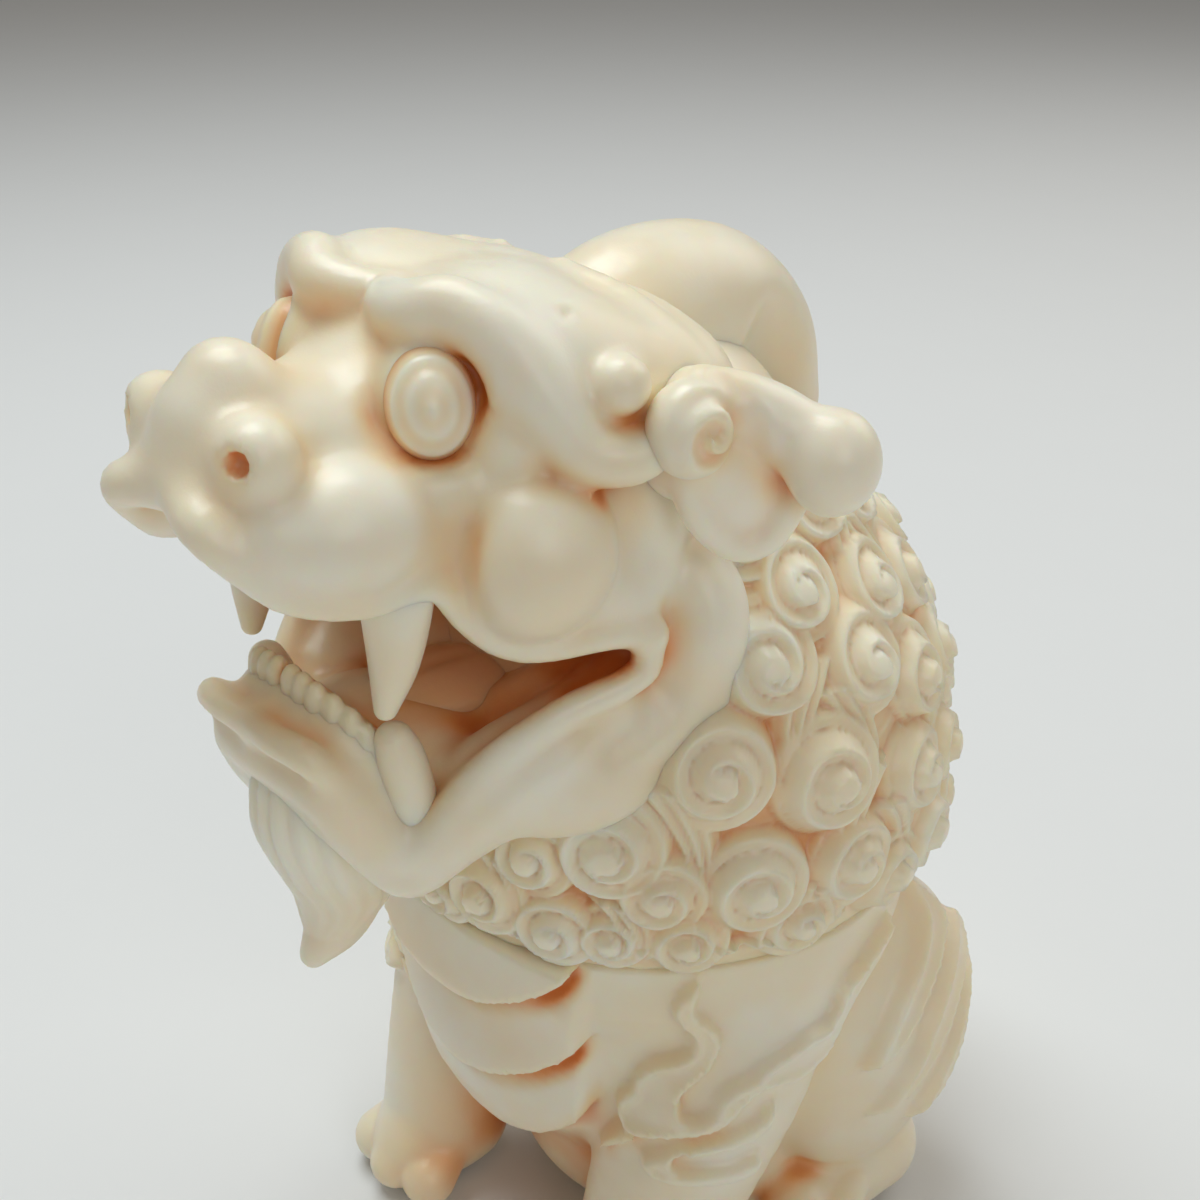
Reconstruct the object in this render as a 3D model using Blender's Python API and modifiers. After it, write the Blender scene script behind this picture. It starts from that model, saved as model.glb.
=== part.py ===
"""A cast-resin pixiu incense burner: a seated beast whose hollow head lifts off a brass burner cup.

The beast faces -Y with its left side at +X. Heights in the head are counted up from the seam where the
head rests on the neck, and heights in the body are counted down from it, so the seam is one plane for all.
"""

import math

import bmesh
import bpy
from mathutils import Euler, Matrix, Vector

MM = 0.001

# Driving dimensions
SEAM_HEIGHT = 46.0 * MM
NECK_BACK = 5.08 * MM
NECK_RADIUS = 25.0 * MM
MANE_RADIUS = 25.8 * MM
MANE_HEIGHT = 42.0 * MM
SOLE_HEIGHT = 1.3 * MM
FELT_THICKNESS = 1.0 * MM
FELT_RADIUS = 3.6 * MM
FIT = 0.3 * MM
SOCKET_FIT = 0.4 * MM

# Burner cup, its ledge in the neck and the ring that keeps the head in place
CUP_RADIUS = 15.8 * MM
CUP_WALL = 1.0 * MM
CUP_DEPTH = 20.0 * MM
CUP_FLANGE = 1.6 * MM
CUP_FLANGE_THICKNESS = 1.0 * MM
LEDGE_DEPTH = 5.0 * MM
RING_RADIUS = 22.2 * MM
RING_WALL = 1.7 * MM
RING_ABOVE_SEAM = 4.0 * MM
RING_BELOW_SEAM = 3.5 * MM
PAD_THICKNESS = 3.0 * MM
HOLDER_RADIUS = 9.0 * MM
HOLDER_THICKNESS = 1.2 * MM
BOSS_RADIUS = 2.6 * MM
BOSS_HEIGHT = 5.0 * MM
STICK_HOLE_RADIUS = 1.0 * MM

# Hollow of the head
HOLLOW_RADIUS = 21.0 * MM
HOLLOW_STRAIGHT = 14.0 * MM
HOLLOW_HEIGHT = 33.0 * MM

# Carved inserts
EYE_RADIUS = 3.7 * MM
HORN_RADIUS = 7.0 * MM
FANG_RADIUS = 1.9 * MM
EAR_RADIUS = 2.5 * MM
BEARD_RADIUS = 4.4 * MM
TAIL_RADIUS = 4.6 * MM
TONGUE_THICKNESS = 2.2 * MM

# Mesh fineness
HEAD_VOXEL = 1.1 * MM
BODY_VOXEL = 1.3 * MM
INSERT_VOXEL = 0.55 * MM
HEAD_FACES = 5000
BODY_FACES = 3000
TURN_STEPS = 40

IVORY = (0.86, 0.76, 0.56, 1.0)
IVORY_PALE = (0.90, 0.83, 0.66, 1.0)
BRASS = (0.78, 0.60, 0.30, 1.0)
FELT = (0.20, 0.18, 0.16, 1.0)
FIBRE = (0.82, 0.80, 0.74, 1.0)

for leftover in list(bpy.data.objects):
    bpy.data.objects.remove(leftover, do_unlink=True)

parts = bpy.data.collections.new("pixiu_incense_burner")
cutters = bpy.data.collections.new("cutters")
bpy.context.scene.collection.children.link(parts)
bpy.context.scene.collection.children.link(cutters)
planned_cuts = []


def on_neck(x, y, z):
    """A point given in millimetres from the centre of the seam."""
    return Vector((x * MM, y * MM + NECK_BACK, z * MM + SEAM_HEIGHT))


def on_ground(x, y, z):
    """A point given in millimetres from the ground under the centre of the seam."""
    return Vector((x * MM, y * MM + NECK_BACK, z * MM))


def both_sides(points):
    """The points of the left side and the same points of the right side."""
    return [points, [Vector((-p.x, p.y, p.z)) for p in points]]


def finish(name, colour, roughness, metallic):
    """A plain material for one sub-part."""
    material = bpy.data.materials.new(name)
    material.use_nodes = True
    shader = material.node_tree.nodes["Principled BSDF"]
    shader.inputs["Base Color"].default_value = colour
    shader.inputs["Roughness"].default_value = roughness
    shader.inputs["Metallic"].default_value = metallic
    return material


def resin(name):
    return finish(name, IVORY, 0.35, 0.0)


def pale_resin(name):
    return finish(name, IVORY_PALE, 0.3, 0.0)


def place(name, mesh, material=None):
    """Links a mesh as a sub-part, or as a cutter when it has no material."""
    thing = bpy.data.objects.new(name, mesh)
    if material is None:
        cutters.objects.link(thing)
        thing.hide_render = True
        thing.display_type = "WIRE"
    else:
        parts.objects.link(thing)
        mesh.materials.clear()
        mesh.materials.append(material)
        mesh.shade_smooth()
    return thing


def read_mesh(thing):
    """The mesh of an object as its modifiers and curves make it; the object itself is removed."""
    graph = bpy.context.evaluated_depsgraph_get()
    mesh = bpy.data.meshes.new_from_object(thing.evaluated_get(graph))
    mesh.transform(thing.matrix_world)
    bpy.data.objects.remove(thing, do_unlink=True)
    return mesh


def cut(thing, cutter):
    """Notes that the cutter's space is taken out of a sub-part once every piece is made."""
    planned_cuts.append((thing, cutter))


def make_cuts():
    """Adds every planned cut to its sub-part."""
    for thing, cutter in planned_cuts:
        modifier = thing.modifiers.new(cutter.name, "BOOLEAN")
        modifier.operation = "DIFFERENCE"
        modifier.solver = "EXACT"
        modifier.object = cutter


def smooth_path(points, steps=4):
    """Points of a smooth curve through the given points."""
    first = points[0] * 2 - points[1]
    last = points[-1] * 2 - points[-2]
    chain = [first] + list(points) + [last]
    path = []
    for i in range(1, len(chain) - 2):
        before, start, end, after = chain[i - 1:i + 3]
        for k in range(steps):
            t = k / steps
            path.append(0.5 * (2 * start + (end - before) * t
                               + (2 * before - 5 * start + 4 * end - after) * t * t
                               + (3 * start - before - 3 * end + after) * t ** 3))
    path.append(points[-1])
    return path


class Lump:
    """Overlapping rounded masses that are melted into one closed mesh."""

    def __init__(self):
        self.bm = bmesh.new()

    def egg(self, centre, radii, pitch=0.0, yaw=0.0):
        size = Vector(radii) * MM
        matrix = Matrix.Translation(centre)
        matrix = matrix @ Euler((math.radians(pitch), 0, math.radians(yaw))).to_matrix().to_4x4()
        matrix = matrix @ Matrix.Diagonal((size.x, size.y, size.z, 1))
        bmesh.ops.create_uvsphere(self.bm, u_segments=32, v_segments=20, radius=1, matrix=matrix)

    def eggs(self, x, y, z, radii, pitch=0.0, yaw=0.0):
        self.egg(on_neck(x, y, z), radii, pitch, yaw)
        self.egg(on_neck(-x, y, z), radii, pitch, -yaw)

    def ball(self, centre, radius):
        self.egg(centre, [radius / MM] * 3)

    def rope(self, points, radii, steps=4):
        """A tube of changing thickness with round ends."""
        carriers = [Vector((*p, r)) for p, r in zip(points, radii)]
        path = smooth_path(carriers, steps)
        curve = bpy.data.curves.new("rope", "CURVE")
        curve.dimensions = "3D"
        curve.bevel_depth = 1.0
        curve.bevel_resolution = 4
        curve.use_fill_caps = True
        spline = curve.splines.new("POLY")
        spline.points.add(len(path) - 1)
        for point, carrier in zip(spline.points, path):
            point.co = (*carrier.xyz, 1)
            point.radius = carrier.w
        guide = bpy.data.objects.new("rope", curve)
        cutters.objects.link(guide)
        self.take(read_mesh(guide))
        self.ball(points[0], radii[0])
        self.ball(points[-1], radii[-1])

    def take(self, mesh):
        """Adds a ready mesh to the lump."""
        self.bm.from_mesh(mesh)
        bpy.data.meshes.remove(mesh)
        bmesh.ops.remove_doubles(self.bm, verts=self.bm.verts, dist=1e-7)

    def melt(self, name, voxel, faces, material=None):
        """Melts the masses together and thins the mesh to about the given number of triangles."""
        mesh = bpy.data.meshes.new(name)
        self.bm.to_mesh(mesh)
        self.bm.free()
        thing = bpy.data.objects.new(name, mesh)
        cutters.objects.link(thing)
        remesh = thing.modifiers.new("melt", "REMESH")
        remesh.mode = "VOXEL"
        remesh.voxel_size = voxel
        smooth = thing.modifiers.new("smooth", "SMOOTH")
        smooth.factor = 0.5
        smooth.iterations = 3
        melted = read_mesh(thing)
        thing = bpy.data.objects.new(name, melted)
        cutters.objects.link(thing)
        thin = thing.modifiers.new("thin", "DECIMATE")
        thin.ratio = min(1.0, faces / (2 * len(melted.polygons)))
        return place(name, read_mesh(thing), material)


def turned(name, profile, material=None, centre_height=0.0):
    """A closed profile of (radius, height) points, top to bottom on its outer side, turned about the neck."""
    mesh = bpy.data.meshes.new(name)
    bm = bmesh.new()
    corners = [bm.verts.new((radius, 0, height)) for radius, height in profile]
    closed = profile[0][0] > 0 or profile[-1][0] > 0
    for a, b in zip(corners, corners[1:]):
        bm.edges.new((a, b))
    if closed:
        bm.edges.new((corners[-1], corners[0]))
    bm.to_mesh(mesh)
    bm.free()
    thing = bpy.data.objects.new(name, mesh)
    cutters.objects.link(thing)
    thing.location = (0, NECK_BACK, centre_height)
    screw = thing.modifiers.new("turn", "SCREW")
    screw.steps = TURN_STEPS
    screw.render_steps = TURN_STEPS
    screw.use_merge_vertices = True
    screw.merge_threshold = 1e-5
    bpy.context.view_layer.update()
    return place(name, read_mesh(thing), material)


def prism(name, outline, half_width):
    """A flat outline of points in the plane of symmetry, as thick as twice the half width."""
    curve = bpy.data.curves.new(name, "CURVE")
    curve.dimensions = "2D"
    curve.fill_mode = "BOTH"
    curve.extrude = half_width
    spline = curve.splines.new("POLY")
    spline.points.add(len(outline) - 1)
    spline.use_cyclic_u = True
    for point, (y, z) in zip(spline.points, outline):
        point.co = (y * MM, z * MM, 0, 1)
    guide = bpy.data.objects.new(name, curve)
    cutters.objects.link(guide)
    guide.matrix_world = Matrix.Translation(on_neck(0, 0, 0)) @ Matrix(
        ((0, 0, 1, 0), (1, 0, 0, 0), (0, 1, 0, 0), (0, 0, 0, 1)))
    bpy.context.view_layer.update()
    mesh = read_mesh(guide)
    bm = bmesh.new()
    bm.from_mesh(mesh)
    bmesh.ops.remove_doubles(bm, verts=bm.verts, dist=1e-7)
    bmesh.ops.recalc_face_normals(bm, faces=bm.faces)
    bm.to_mesh(mesh)
    bm.free()
    return place(name, mesh)


def slab(name, low, high):
    """A box between two heights, wide enough to trim any part of the beast."""
    reach = 0.2
    mesh = bpy.data.meshes.new(name)
    bm = bmesh.new()
    matrix = Matrix.Translation((0, 0, (low + high) / 2)) @ Matrix.Diagonal((reach, reach, high - low, 1))
    bmesh.ops.create_cube(bm, size=1, matrix=matrix)
    bm.to_mesh(mesh)
    bm.free()
    return place(name, mesh)


# Outline of the open mouth in the plane of symmetry, upper lip first, then the lower lip from the corner
MOUTH_OUTLINE = (
    (-60, 47.5), (-47.5, 43.6), (-42.6, 38.6), (-38.0, 37.5), (-32.6, 37.9), (-31.0, 34.6), (-28.6, 32.4),
    (-25.9, 31.7), (-18.6, 32.0), (-17.4, 30.4), (-19.4, 28.6), (-25.2, 27.0), (-30.2, 23.4),
    (-34.4, 16.6), (-36.8, 19.4), (-38.6, 22.8), (-40.6, 26.2), (-60, 28),
)

# Curls of the mane beside the face: angle from the face in degrees, height above the seam and
# radius in millimetres
FACE_CURLS = (
    (14.6, 5.8, 4.6), (27.7, 3.4, 4.2), (37.9, 13.0, 5.2), (46.7, 8.6, 4.4), (63.9, 8.6, 5.0),
    (56.7, 19.3, 5.2),
    (78.7, 17.1, 5.4), (69.0, 26.8, 4.8), (84.0, 8.2, 4.8), (80.6, 31.0, 4.4), (68.4, 35.1, 4.0),
    (92.5, 24.6, 4.8),
)

# Rows of curls behind them: height above the seam, first angle, step between curls, count and radius
CURL_ROWS = ((4.0, 112.0, 17.0, 5, 4.9), (12.0, 104.0, 18.0, 5, 4.7), (20.0, 110.0, 18.5, 4, 4.6),
             (28.0, 106.0, 20.0, 4, 4.4), (35.5, 98.0, 23.0, 4, 4.2))

# Outline of the mane: share of its full height and share of its full radius
MANE_BELL = ((1.0, 0.40), (0.9, 0.51), (0.81, 0.63), (0.69, 0.76), (0.57, 0.875), (0.43, 0.96), (0.24, 1.0),
             (0.0, 0.97), (-0.1, 0.9))

flange_radius = CUP_RADIUS + CUP_FLANGE
cup_top = SEAM_HEIGHT - LEDGE_DEPTH + FIT + CUP_FLANGE_THICKNESS
cup_bottom = cup_top - CUP_DEPTH
pad_bottom = cup_bottom + CUP_WALL + FIT
pad_top = pad_bottom + PAD_THICKNESS
holder_bottom = pad_top + FIT
pad_radius = CUP_RADIUS - CUP_WALL - FIT


def mane_share(height):
    """Share of the mane's radius at a share of its height."""
    for (high, wide), (low, next_wide) in zip(MANE_BELL, MANE_BELL[1:]):
        if height >= low:
            return next_wide + (wide - next_wide) * (height - low) / (high - low)
    return MANE_BELL[-1][1]


def mane_curls(lump):
    """Flattened domes that stand for the curls of the mane."""
    curls = list(FACE_CURLS)
    for height, first, step, count, radius in CURL_ROWS:
        curls += [(first + step * k, height, radius) for k in range(count)]
    for degrees, height, radius in curls:
        reach = MANE_RADIUS * mane_share(height * MM / MANE_HEIGHT)
        for side in (1, -1):
            angle = side * math.radians(degrees)
            centre = on_neck(0, 0, height) + reach * Vector((math.sin(angle), -math.cos(angle), 0))
            lump.egg(centre, (0.95 * radius, 0.55 * radius, 0.95 * radius), yaw=math.degrees(angle))


def horn_course():
    points = [on_neck(0, y, z) for y, z in ((-9, 45.8), (-3, 48.2), (4.6, 47.9), (9.8, 44.2), (11.6, 38.5))]
    shares = (1.0, 1.04, 1.0, 0.94, 0.9)
    return points, shares


def ear_courses():
    lobe = [on_neck(*p) for p in ((17.0, -14.5, 46.5), (19.6, -15.2, 49.0), (21.2, -12.8, 48.8),
                                  (23.0, -10.4, 47.2),
                                  (26.0, -8.4, 44.8))]
    curl = [on_neck(*p) for p in ((18.4, -16.0, 47.8), (20.4, -17.2, 48.2))]
    flap = [on_neck(*p) for p in ((18.4, -16.0, 45.8), (19.4, -15.3, 41.4), (20.5, -12.7, 38.4),
                                  (22.0, -10.5, 38.8),
                                  (23.4, -9.2, 42.8))]
    return (lobe, (1.2, 1.04, 1.2, 1.24, 1.32)), (curl, (1.2, 1.3)), (flap, (0.5, 0.54, 0.56, 0.54, 0.5))


def fang_courses():
    upper = [on_neck(*p) for p in ((8.6, -33.8, 40.0), (9.0, -34.2, 37.0), (9.1, -34.8, 32.5),
                                   (8.8, -35.6, 28.2))]
    lower = [on_neck(*p) for p in ((8.2, -33.2, 16.5), (8.4, -33.8, 20.0), (8.5, -34.4, 23.6),
                                   (8.4, -34.8, 25.6))]
    return (upper, (1.15, 1.2, 0.85, 0.35)), (lower, (1.0, 0.97, 0.85, 0.65))


def beard_course():
    points = [on_neck(0, y, z) for y, z in ((-37.6, 17.0), (-36.6, 12.5), (-35.6, 8.0), (-36.4, 5.2),
                                            (-38.4, 3.2))]
    return points, (0.95, 0.95, 0.75, 0.55, 0.28)


def tail_course():
    points = [on_neck(0, y, z) for y, z in ((25.0, -34.0), (30.5, -30.0), (32.6, -21.0), (29.6, -12.0),
                                            (28.8, -5.0))]
    return points, (0.9, 1.0, 1.0, 0.8, 0.3)


def rope_part(name, points, shares, radius, faces, material):
    """A carved insert that follows one course, and the socket it is glued into."""
    solid = Lump()
    solid.rope(points, [radius * s for s in shares])
    socket = Lump()
    socket.rope(points, [radius * s + SOCKET_FIT for s in shares])
    part = solid.melt(name, INSERT_VOXEL, faces, material)
    return part, socket.melt(name + "_socket", INSERT_VOXEL, faces)


def head_mass():
    """Skull, muzzle, lips, jaw, brows and mane, before the mouth and the hollow are cut."""
    lump = Lump()
    lump.egg(on_neck(0, -5, 34), (16.5, 16, 16))
    lump.egg(on_neck(0, -19.2, 48.6), (14.2, 12.2, 8.4), pitch=-6)
    lump.eggs(6.0, -22.4, 50.8, (7.2, 7.0, 6.4))
    lump.eggs(11.6, -18.0, 49.2, (5.6, 6.6, 5.4))
    lump.egg(on_neck(0, -31.0, 46.8), (8.6, 12.5, 5.8), pitch=6)
    lump.egg(on_neck(0, -39.6, 47.4), (6.4, 5.8, 4.8))
    lump.egg(on_neck(0, -43.0, 46.4), (6.4, 3.4, 2.6))
    lump.eggs(6.8, -37.8, 42.4, (5.4, 5.9, 4.9), yaw=-22)
    lump.eggs(9.6, -25.8, 39.4, (7.4, 6.1, 7.7), yaw=-22)
    lump.eggs(11.8, -16.0, 38.4, (5.6, 6.0, 8.4))
    lump.eggs(15.4, -12.4, 30.0, (5.4, 5.0, 7.0))
    lump.egg(on_neck(0, -40.4, 51.6), (3.4, 3.0, 3.2))
    lump.egg(on_neck(0, -43.2, 49.6), (3.2, 2.0, 2.4))
    lump.eggs(6.0, -42.4, 49.0, (2.9, 2.7, 2.8))
    lump.eggs(16.9, -20.4, 51.2, (2.1, 2.1, 2.1))
    lump.eggs(12.8, -22.4, 19.0, (5.0, 7.8, 4.6), yaw=-28)
    lump.egg(on_neck(0, -25, 16.5), (9.5, 12.5, 4))
    lump.egg(on_neck(0, -12, 18), (16.5, 14, 10))
    for course, radii in face_courses():
        for side in both_sides([on_neck(*p) for p in course]):
            lump.rope(side, [r * MM for r in radii])
    outline = [(wide * MANE_RADIUS, high * MANE_HEIGHT) for high, wide in MANE_BELL]
    bell = [(0, outline[0][1])] + outline + [(0, outline[-1][1])]
    mane = turned("mane_bell", bell, centre_height=SEAM_HEIGHT)
    lump.take(read_mesh(mane))
    mane_curls(lump)
    return lump


def face_courses():
    """Ridges of the left half of the face: points and thicknesses in millimetres."""
    brow = ((0, -27.6, 56.2), (4.0, -28.6, 56.4), (7.0, -28.4, 56.2), (9.8, -26.8, 54.6), (12.4, -25.0, 51.8),
            (14.4, -23.6, 48.8), (15.8, -22.2, 47.0), (17.6, -19.8, 47.8))
    jaw = ((0, -37.2, 21.4), (5.0, -36.2, 19.0), (7.6, -32.8, 15.4), (11.2, -27.5, 19.8), (14.0, -20.0, 22.4),
           (14.2, -12.0, 24.0))
    flare = ((0, -39.8, 22.6), (5.8, -39.0, 21.4), (7.2, -37.0, 17.4), (8.8, -34.2, 13.8),
             (11.8, -30.8, 19.0),
             (14.6, -25.6, 23.0), (16.4, -20.0, 25.4))
    lip_body = ((7.0, -40.0, 42.5), (8.2, -36.5, 41.0), (9.0, -31.5, 40.4), (11.2, -26.5, 35.2),
                (13.0, -21.4, 35.0),
                (13.8, -17.5, 34.5))
    upper_lip = ((0, -44.6, 45.6), (5.2, -46.0, 44.6), (8.6, -41.8, 39.3), (10.0, -37.6, 38.3),
                 (11.4, -32.8, 38.6),
                 (13.2, -28.4, 33.2), (14.6, -25.7, 32.6), (17.2, -18.6, 32.6))
    lower_lip = ((17.4, -18.6, 28.0), (15.4, -25.0, 26.0), (12.8, -30.2, 22.2), (9.8, -34.4, 16.0),
                 (8.2, -36.8, 17.6),
                 (7.2, -39.0, 21.8), (6.4, -40.8, 25.0), (0, -41.2, 25.4))
    return ((brow, (1.2, 1.8, 2.1, 2.1, 2.2, 2.3, 2.4, 2.1)), (jaw, (3.8, 3.7, 3.3, 4.2, 4.7, 5.5)),
            (flare, (2.2, 2.2, 2.1, 2.1, 2.2, 2.2, 2.0)), (lip_body, (2.6, 2.6, 2.2, 2.8, 2.8, 2.8)),
            (upper_lip, (1.7, 1.7, 1.1, 1.1, 1.1, 1.1, 1.1, 1.2)), (lower_lip, [1.3] * 8))


def body_mass():
    """Torso, neck, chest, legs, paws and haunches, before the well is cut."""
    lump = Lump()
    lump.egg(on_neck(0, 4, -20), (20.5, 21, 24))
    lump.egg(on_neck(0, -7, -14), (17, 16.5, 17))
    lump.egg(on_neck(0, 6, -36), (17, 19, 13))
    lump.egg(on_neck(0, 14, -28), (18, 17, 16))
    for height in (-5.5, -14.0, -22.5):
        scute = [on_neck(*p) for p in ((-9.5, -18.5, height + 2), (0, -23.0, height - 1.5),
                                       (9.5, -18.5, height + 2))]
        lump.rope(scute, [2.2 * MM, 3.4 * MM, 2.2 * MM])
    neck = turned("neck_drum", [(0, 0), (NECK_RADIUS, 0), (NECK_RADIUS, -6 * MM),
                                (0.8 * NECK_RADIUS, -20 * MM),
                                (0, -20 * MM)], centre_height=SEAM_HEIGHT)
    lump.take(read_mesh(neck))
    foreleg = [on_neck(15, -3, -6), on_neck(16, -7, -16), on_neck(15.5, -12, -28), on_ground(15, -16, 6)]
    forepaw = [on_ground(14.8, -14, 5), on_ground(14.8, -19.5, 4.2)]
    hindpaw = [on_ground(17.5, 15, 5), on_ground(17.8, 5.5, 4.2)]
    for side in both_sides(foreleg):
        lump.rope(side, [9.5 * MM, 9 * MM, 7.5 * MM, 6.2 * MM])
    for paw in (forepaw, hindpaw):
        for side in both_sides(paw):
            lump.rope(side, [5.6 * MM, 4.6 * MM])
    lump.eggs(17, 15, -24, (8.5, 14, 17), yaw=8)
    return lump


def paw_toes(lump):
    """Three rounded toes on each paw."""
    for paw_x, paw_y in ((14.8, -22.5), (17.8, 2.0)):
        for spread in (-3.2, 0.0, 3.2):
            for side in (1, -1):
                front = paw_y + 0.8 * abs(spread) / 3.2
                lump.ball(on_ground(side * (paw_x + spread), front, 3.4), 2.5 * MM)


# Body
body = body_mass()
paw_toes(body)
body_shell = body.melt("body_shell", BODY_VOXEL, BODY_FACES, resin("body_resin"))
cut(body_shell, slab("above_the_seam", SEAM_HEIGHT - FIT, SEAM_HEIGHT + 60 * MM))
cut(body_shell, slab("below_the_soles", -60 * MM, SOLE_HEIGHT))
ledge = SEAM_HEIGHT - LEDGE_DEPTH
well_radius = CUP_RADIUS + FIT
counterbore_radius = RING_RADIUS + FIT
cut(body_shell, turned("well", [(0, SEAM_HEIGHT + 5 * MM), (counterbore_radius, SEAM_HEIGHT + 5 * MM),
                                (counterbore_radius, ledge), (well_radius, ledge),
                                (well_radius, cup_bottom - FIT), (0, cup_bottom - FIT)]))

# Burner cup with its fibre pad and the holder for the stick or cone
cup_inner = CUP_RADIUS - CUP_WALL
turned("burner_cup", [(flange_radius, cup_top), (flange_radius, cup_top - CUP_FLANGE_THICKNESS),
                      (CUP_RADIUS, cup_top - CUP_FLANGE_THICKNESS), (CUP_RADIUS, cup_bottom), (0, cup_bottom),
                      (0, cup_bottom + CUP_WALL), (cup_inner, cup_bottom + CUP_WALL), (cup_inner, cup_top)],
       finish("cup_brass", BRASS, 0.3, 1.0))
turned("fibre_pad", [(0, pad_top), (pad_radius, pad_top), (pad_radius, pad_bottom), (0, pad_bottom)],
       finish("pad_fibre", FIBRE, 0.95, 0.0))
plate_top = holder_bottom + HOLDER_THICKNESS
boss_top = plate_top + BOSS_HEIGHT
turned("incense_holder", [(STICK_HOLE_RADIUS, boss_top), (BOSS_RADIUS, boss_top), (BOSS_RADIUS, plate_top),
                          (HOLDER_RADIUS, plate_top), (HOLDER_RADIUS, holder_bottom), (0, holder_bottom),
                          (0, plate_top), (STICK_HOLE_RADIUS, plate_top)],
       finish("holder_brass", BRASS, 0.3, 1.0))

# Head
head_shell = head_mass().melt("head_shell", HEAD_VOXEL, HEAD_FACES, resin("head_resin"))
cut(head_shell, slab("under_the_seam", SEAM_HEIGHT - 60 * MM, SEAM_HEIGHT))
cut(head_shell, prism("mouth", MOUTH_OUTLINE, 40 * MM))
recess_top = RING_ABOVE_SEAM + FIT
dome = [(0, HOLLOW_HEIGHT), (0.45 * HOLLOW_RADIUS, 0.96 * HOLLOW_HEIGHT),
        (0.75 * HOLLOW_RADIUS, 0.8 * HOLLOW_HEIGHT),
        (0.93 * HOLLOW_RADIUS, 0.6 * HOLLOW_HEIGHT), (HOLLOW_RADIUS, HOLLOW_STRAIGHT),
        (HOLLOW_RADIUS, recess_top),
        (counterbore_radius, recess_top), (counterbore_radius, -5 * MM), (0, -5 * MM)]
cut(head_shell, turned("hollow", dome, centre_height=SEAM_HEIGHT))
throat = Lump()
throat.egg(on_neck(0, -24, 29.6), (8.8, 13.5, 7.2))
cut(head_shell, throat.melt("throat", INSERT_VOXEL, 300))

turned("locating_ring", [(RING_RADIUS, SEAM_HEIGHT + RING_ABOVE_SEAM),
                         (RING_RADIUS, SEAM_HEIGHT - RING_BELOW_SEAM),
                         (RING_RADIUS - RING_WALL, SEAM_HEIGHT - RING_BELOW_SEAM),
                         (RING_RADIUS - RING_WALL, SEAM_HEIGHT + RING_ABOVE_SEAM)], resin("ring_resin"))

# Inserts glued into the head
horn_points, horn_shares = horn_course()
horn, horn_socket = rope_part("horn", horn_points, horn_shares, HORN_RADIUS, 420, pale_resin("horn_resin"))
cut(head_shell, horn_socket)
beard_points, beard_shares = beard_course()
beard, beard_socket = rope_part("beard", beard_points, beard_shares, BEARD_RADIUS, 320, resin("beard_resin"))
cut(head_shell, beard_socket)

for side, word in ((1, "left"), (-1, "right")):
    flip = Vector((side, 1, 1))
    ear = Lump()
    ear_socket = Lump()
    for points, shares in ear_courses():
        mirrored = [p * flip for p in points]
        ear.rope(mirrored, [EAR_RADIUS * s for s in shares])
        ear_socket.rope(mirrored, [EAR_RADIUS * s + SOCKET_FIT for s in shares])
    ear.melt("ear_" + word, INSERT_VOXEL, 480, pale_resin("ear_resin_" + word))
    cut(head_shell, ear_socket.melt("ear_socket_" + word, INSERT_VOXEL, 480))

    eye_centre = on_neck(side * 8.2, -29.1, 49.4)
    eye = Lump()
    eye.ball(eye_centre, EYE_RADIUS)
    eye.melt("eye_" + word, INSERT_VOXEL, 200, pale_resin("eye_resin_" + word))
    eye_socket = Lump()
    eye_socket.ball(eye_centre, EYE_RADIUS + SOCKET_FIT)
    cut(head_shell, eye_socket.melt("eye_socket_" + word, INSERT_VOXEL, 200))

    for (points, shares), jaw_word in zip(fang_courses(), ("upper", "lower")):
        mirrored = [p * flip for p in points]
        fang, fang_socket = rope_part(jaw_word + "_fang_" + word, mirrored, shares, FANG_RADIUS, 120,
                                      pale_resin(jaw_word + "_fang_resin_" + word))
        cut(head_shell, fang_socket)

tongue = Lump()
tongue.egg(on_neck(0, -24.5, 22.8), (5.0, 7.5, TONGUE_THICKNESS / MM), pitch=-4)
tongue.melt("tongue", INSERT_VOXEL, 200, resin("tongue_resin"))
tongue_bed = Lump()
bed = SOCKET_FIT / MM
tongue_bed.egg(on_neck(0, -24.5, 22.8), (5.0 + bed, 7.5 + bed, TONGUE_THICKNESS / MM + bed), pitch=-4)
cut(head_shell, tongue_bed.melt("tongue_bed", INSERT_VOXEL, 200))

# Tail glued to the rump
tail_points, tail_shares = tail_course()
tail, tail_socket = rope_part("tail", tail_points, tail_shares, TAIL_RADIUS, 320, resin("tail_resin"))
cut(body_shell, tail_socket)

# Felt pads under the paws
for paw, paw_x, paw_y in (("fore", 14.8, -17.5), ("hind", 17.6, 9.0)):
    for side, word in ((1, "left"), (-1, "right")):
        centre = on_ground(side * paw_x, paw_y, 0) + Vector((0, 0, FELT_THICKNESS / 2))
        pad_mesh = bpy.data.meshes.new("felt")
        bm = bmesh.new()
        bmesh.ops.create_cone(bm, cap_ends=True, segments=24, radius1=FELT_RADIUS, radius2=FELT_RADIUS,
                              depth=FELT_THICKNESS, matrix=Matrix.Translation(centre))
        bm.to_mesh(pad_mesh)
        bm.free()
        place(f"felt_pad_{paw}_{word}", pad_mesh, finish(f"felt_{paw}_{word}", FELT, 0.95, 0.0))

make_cuts()
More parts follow.
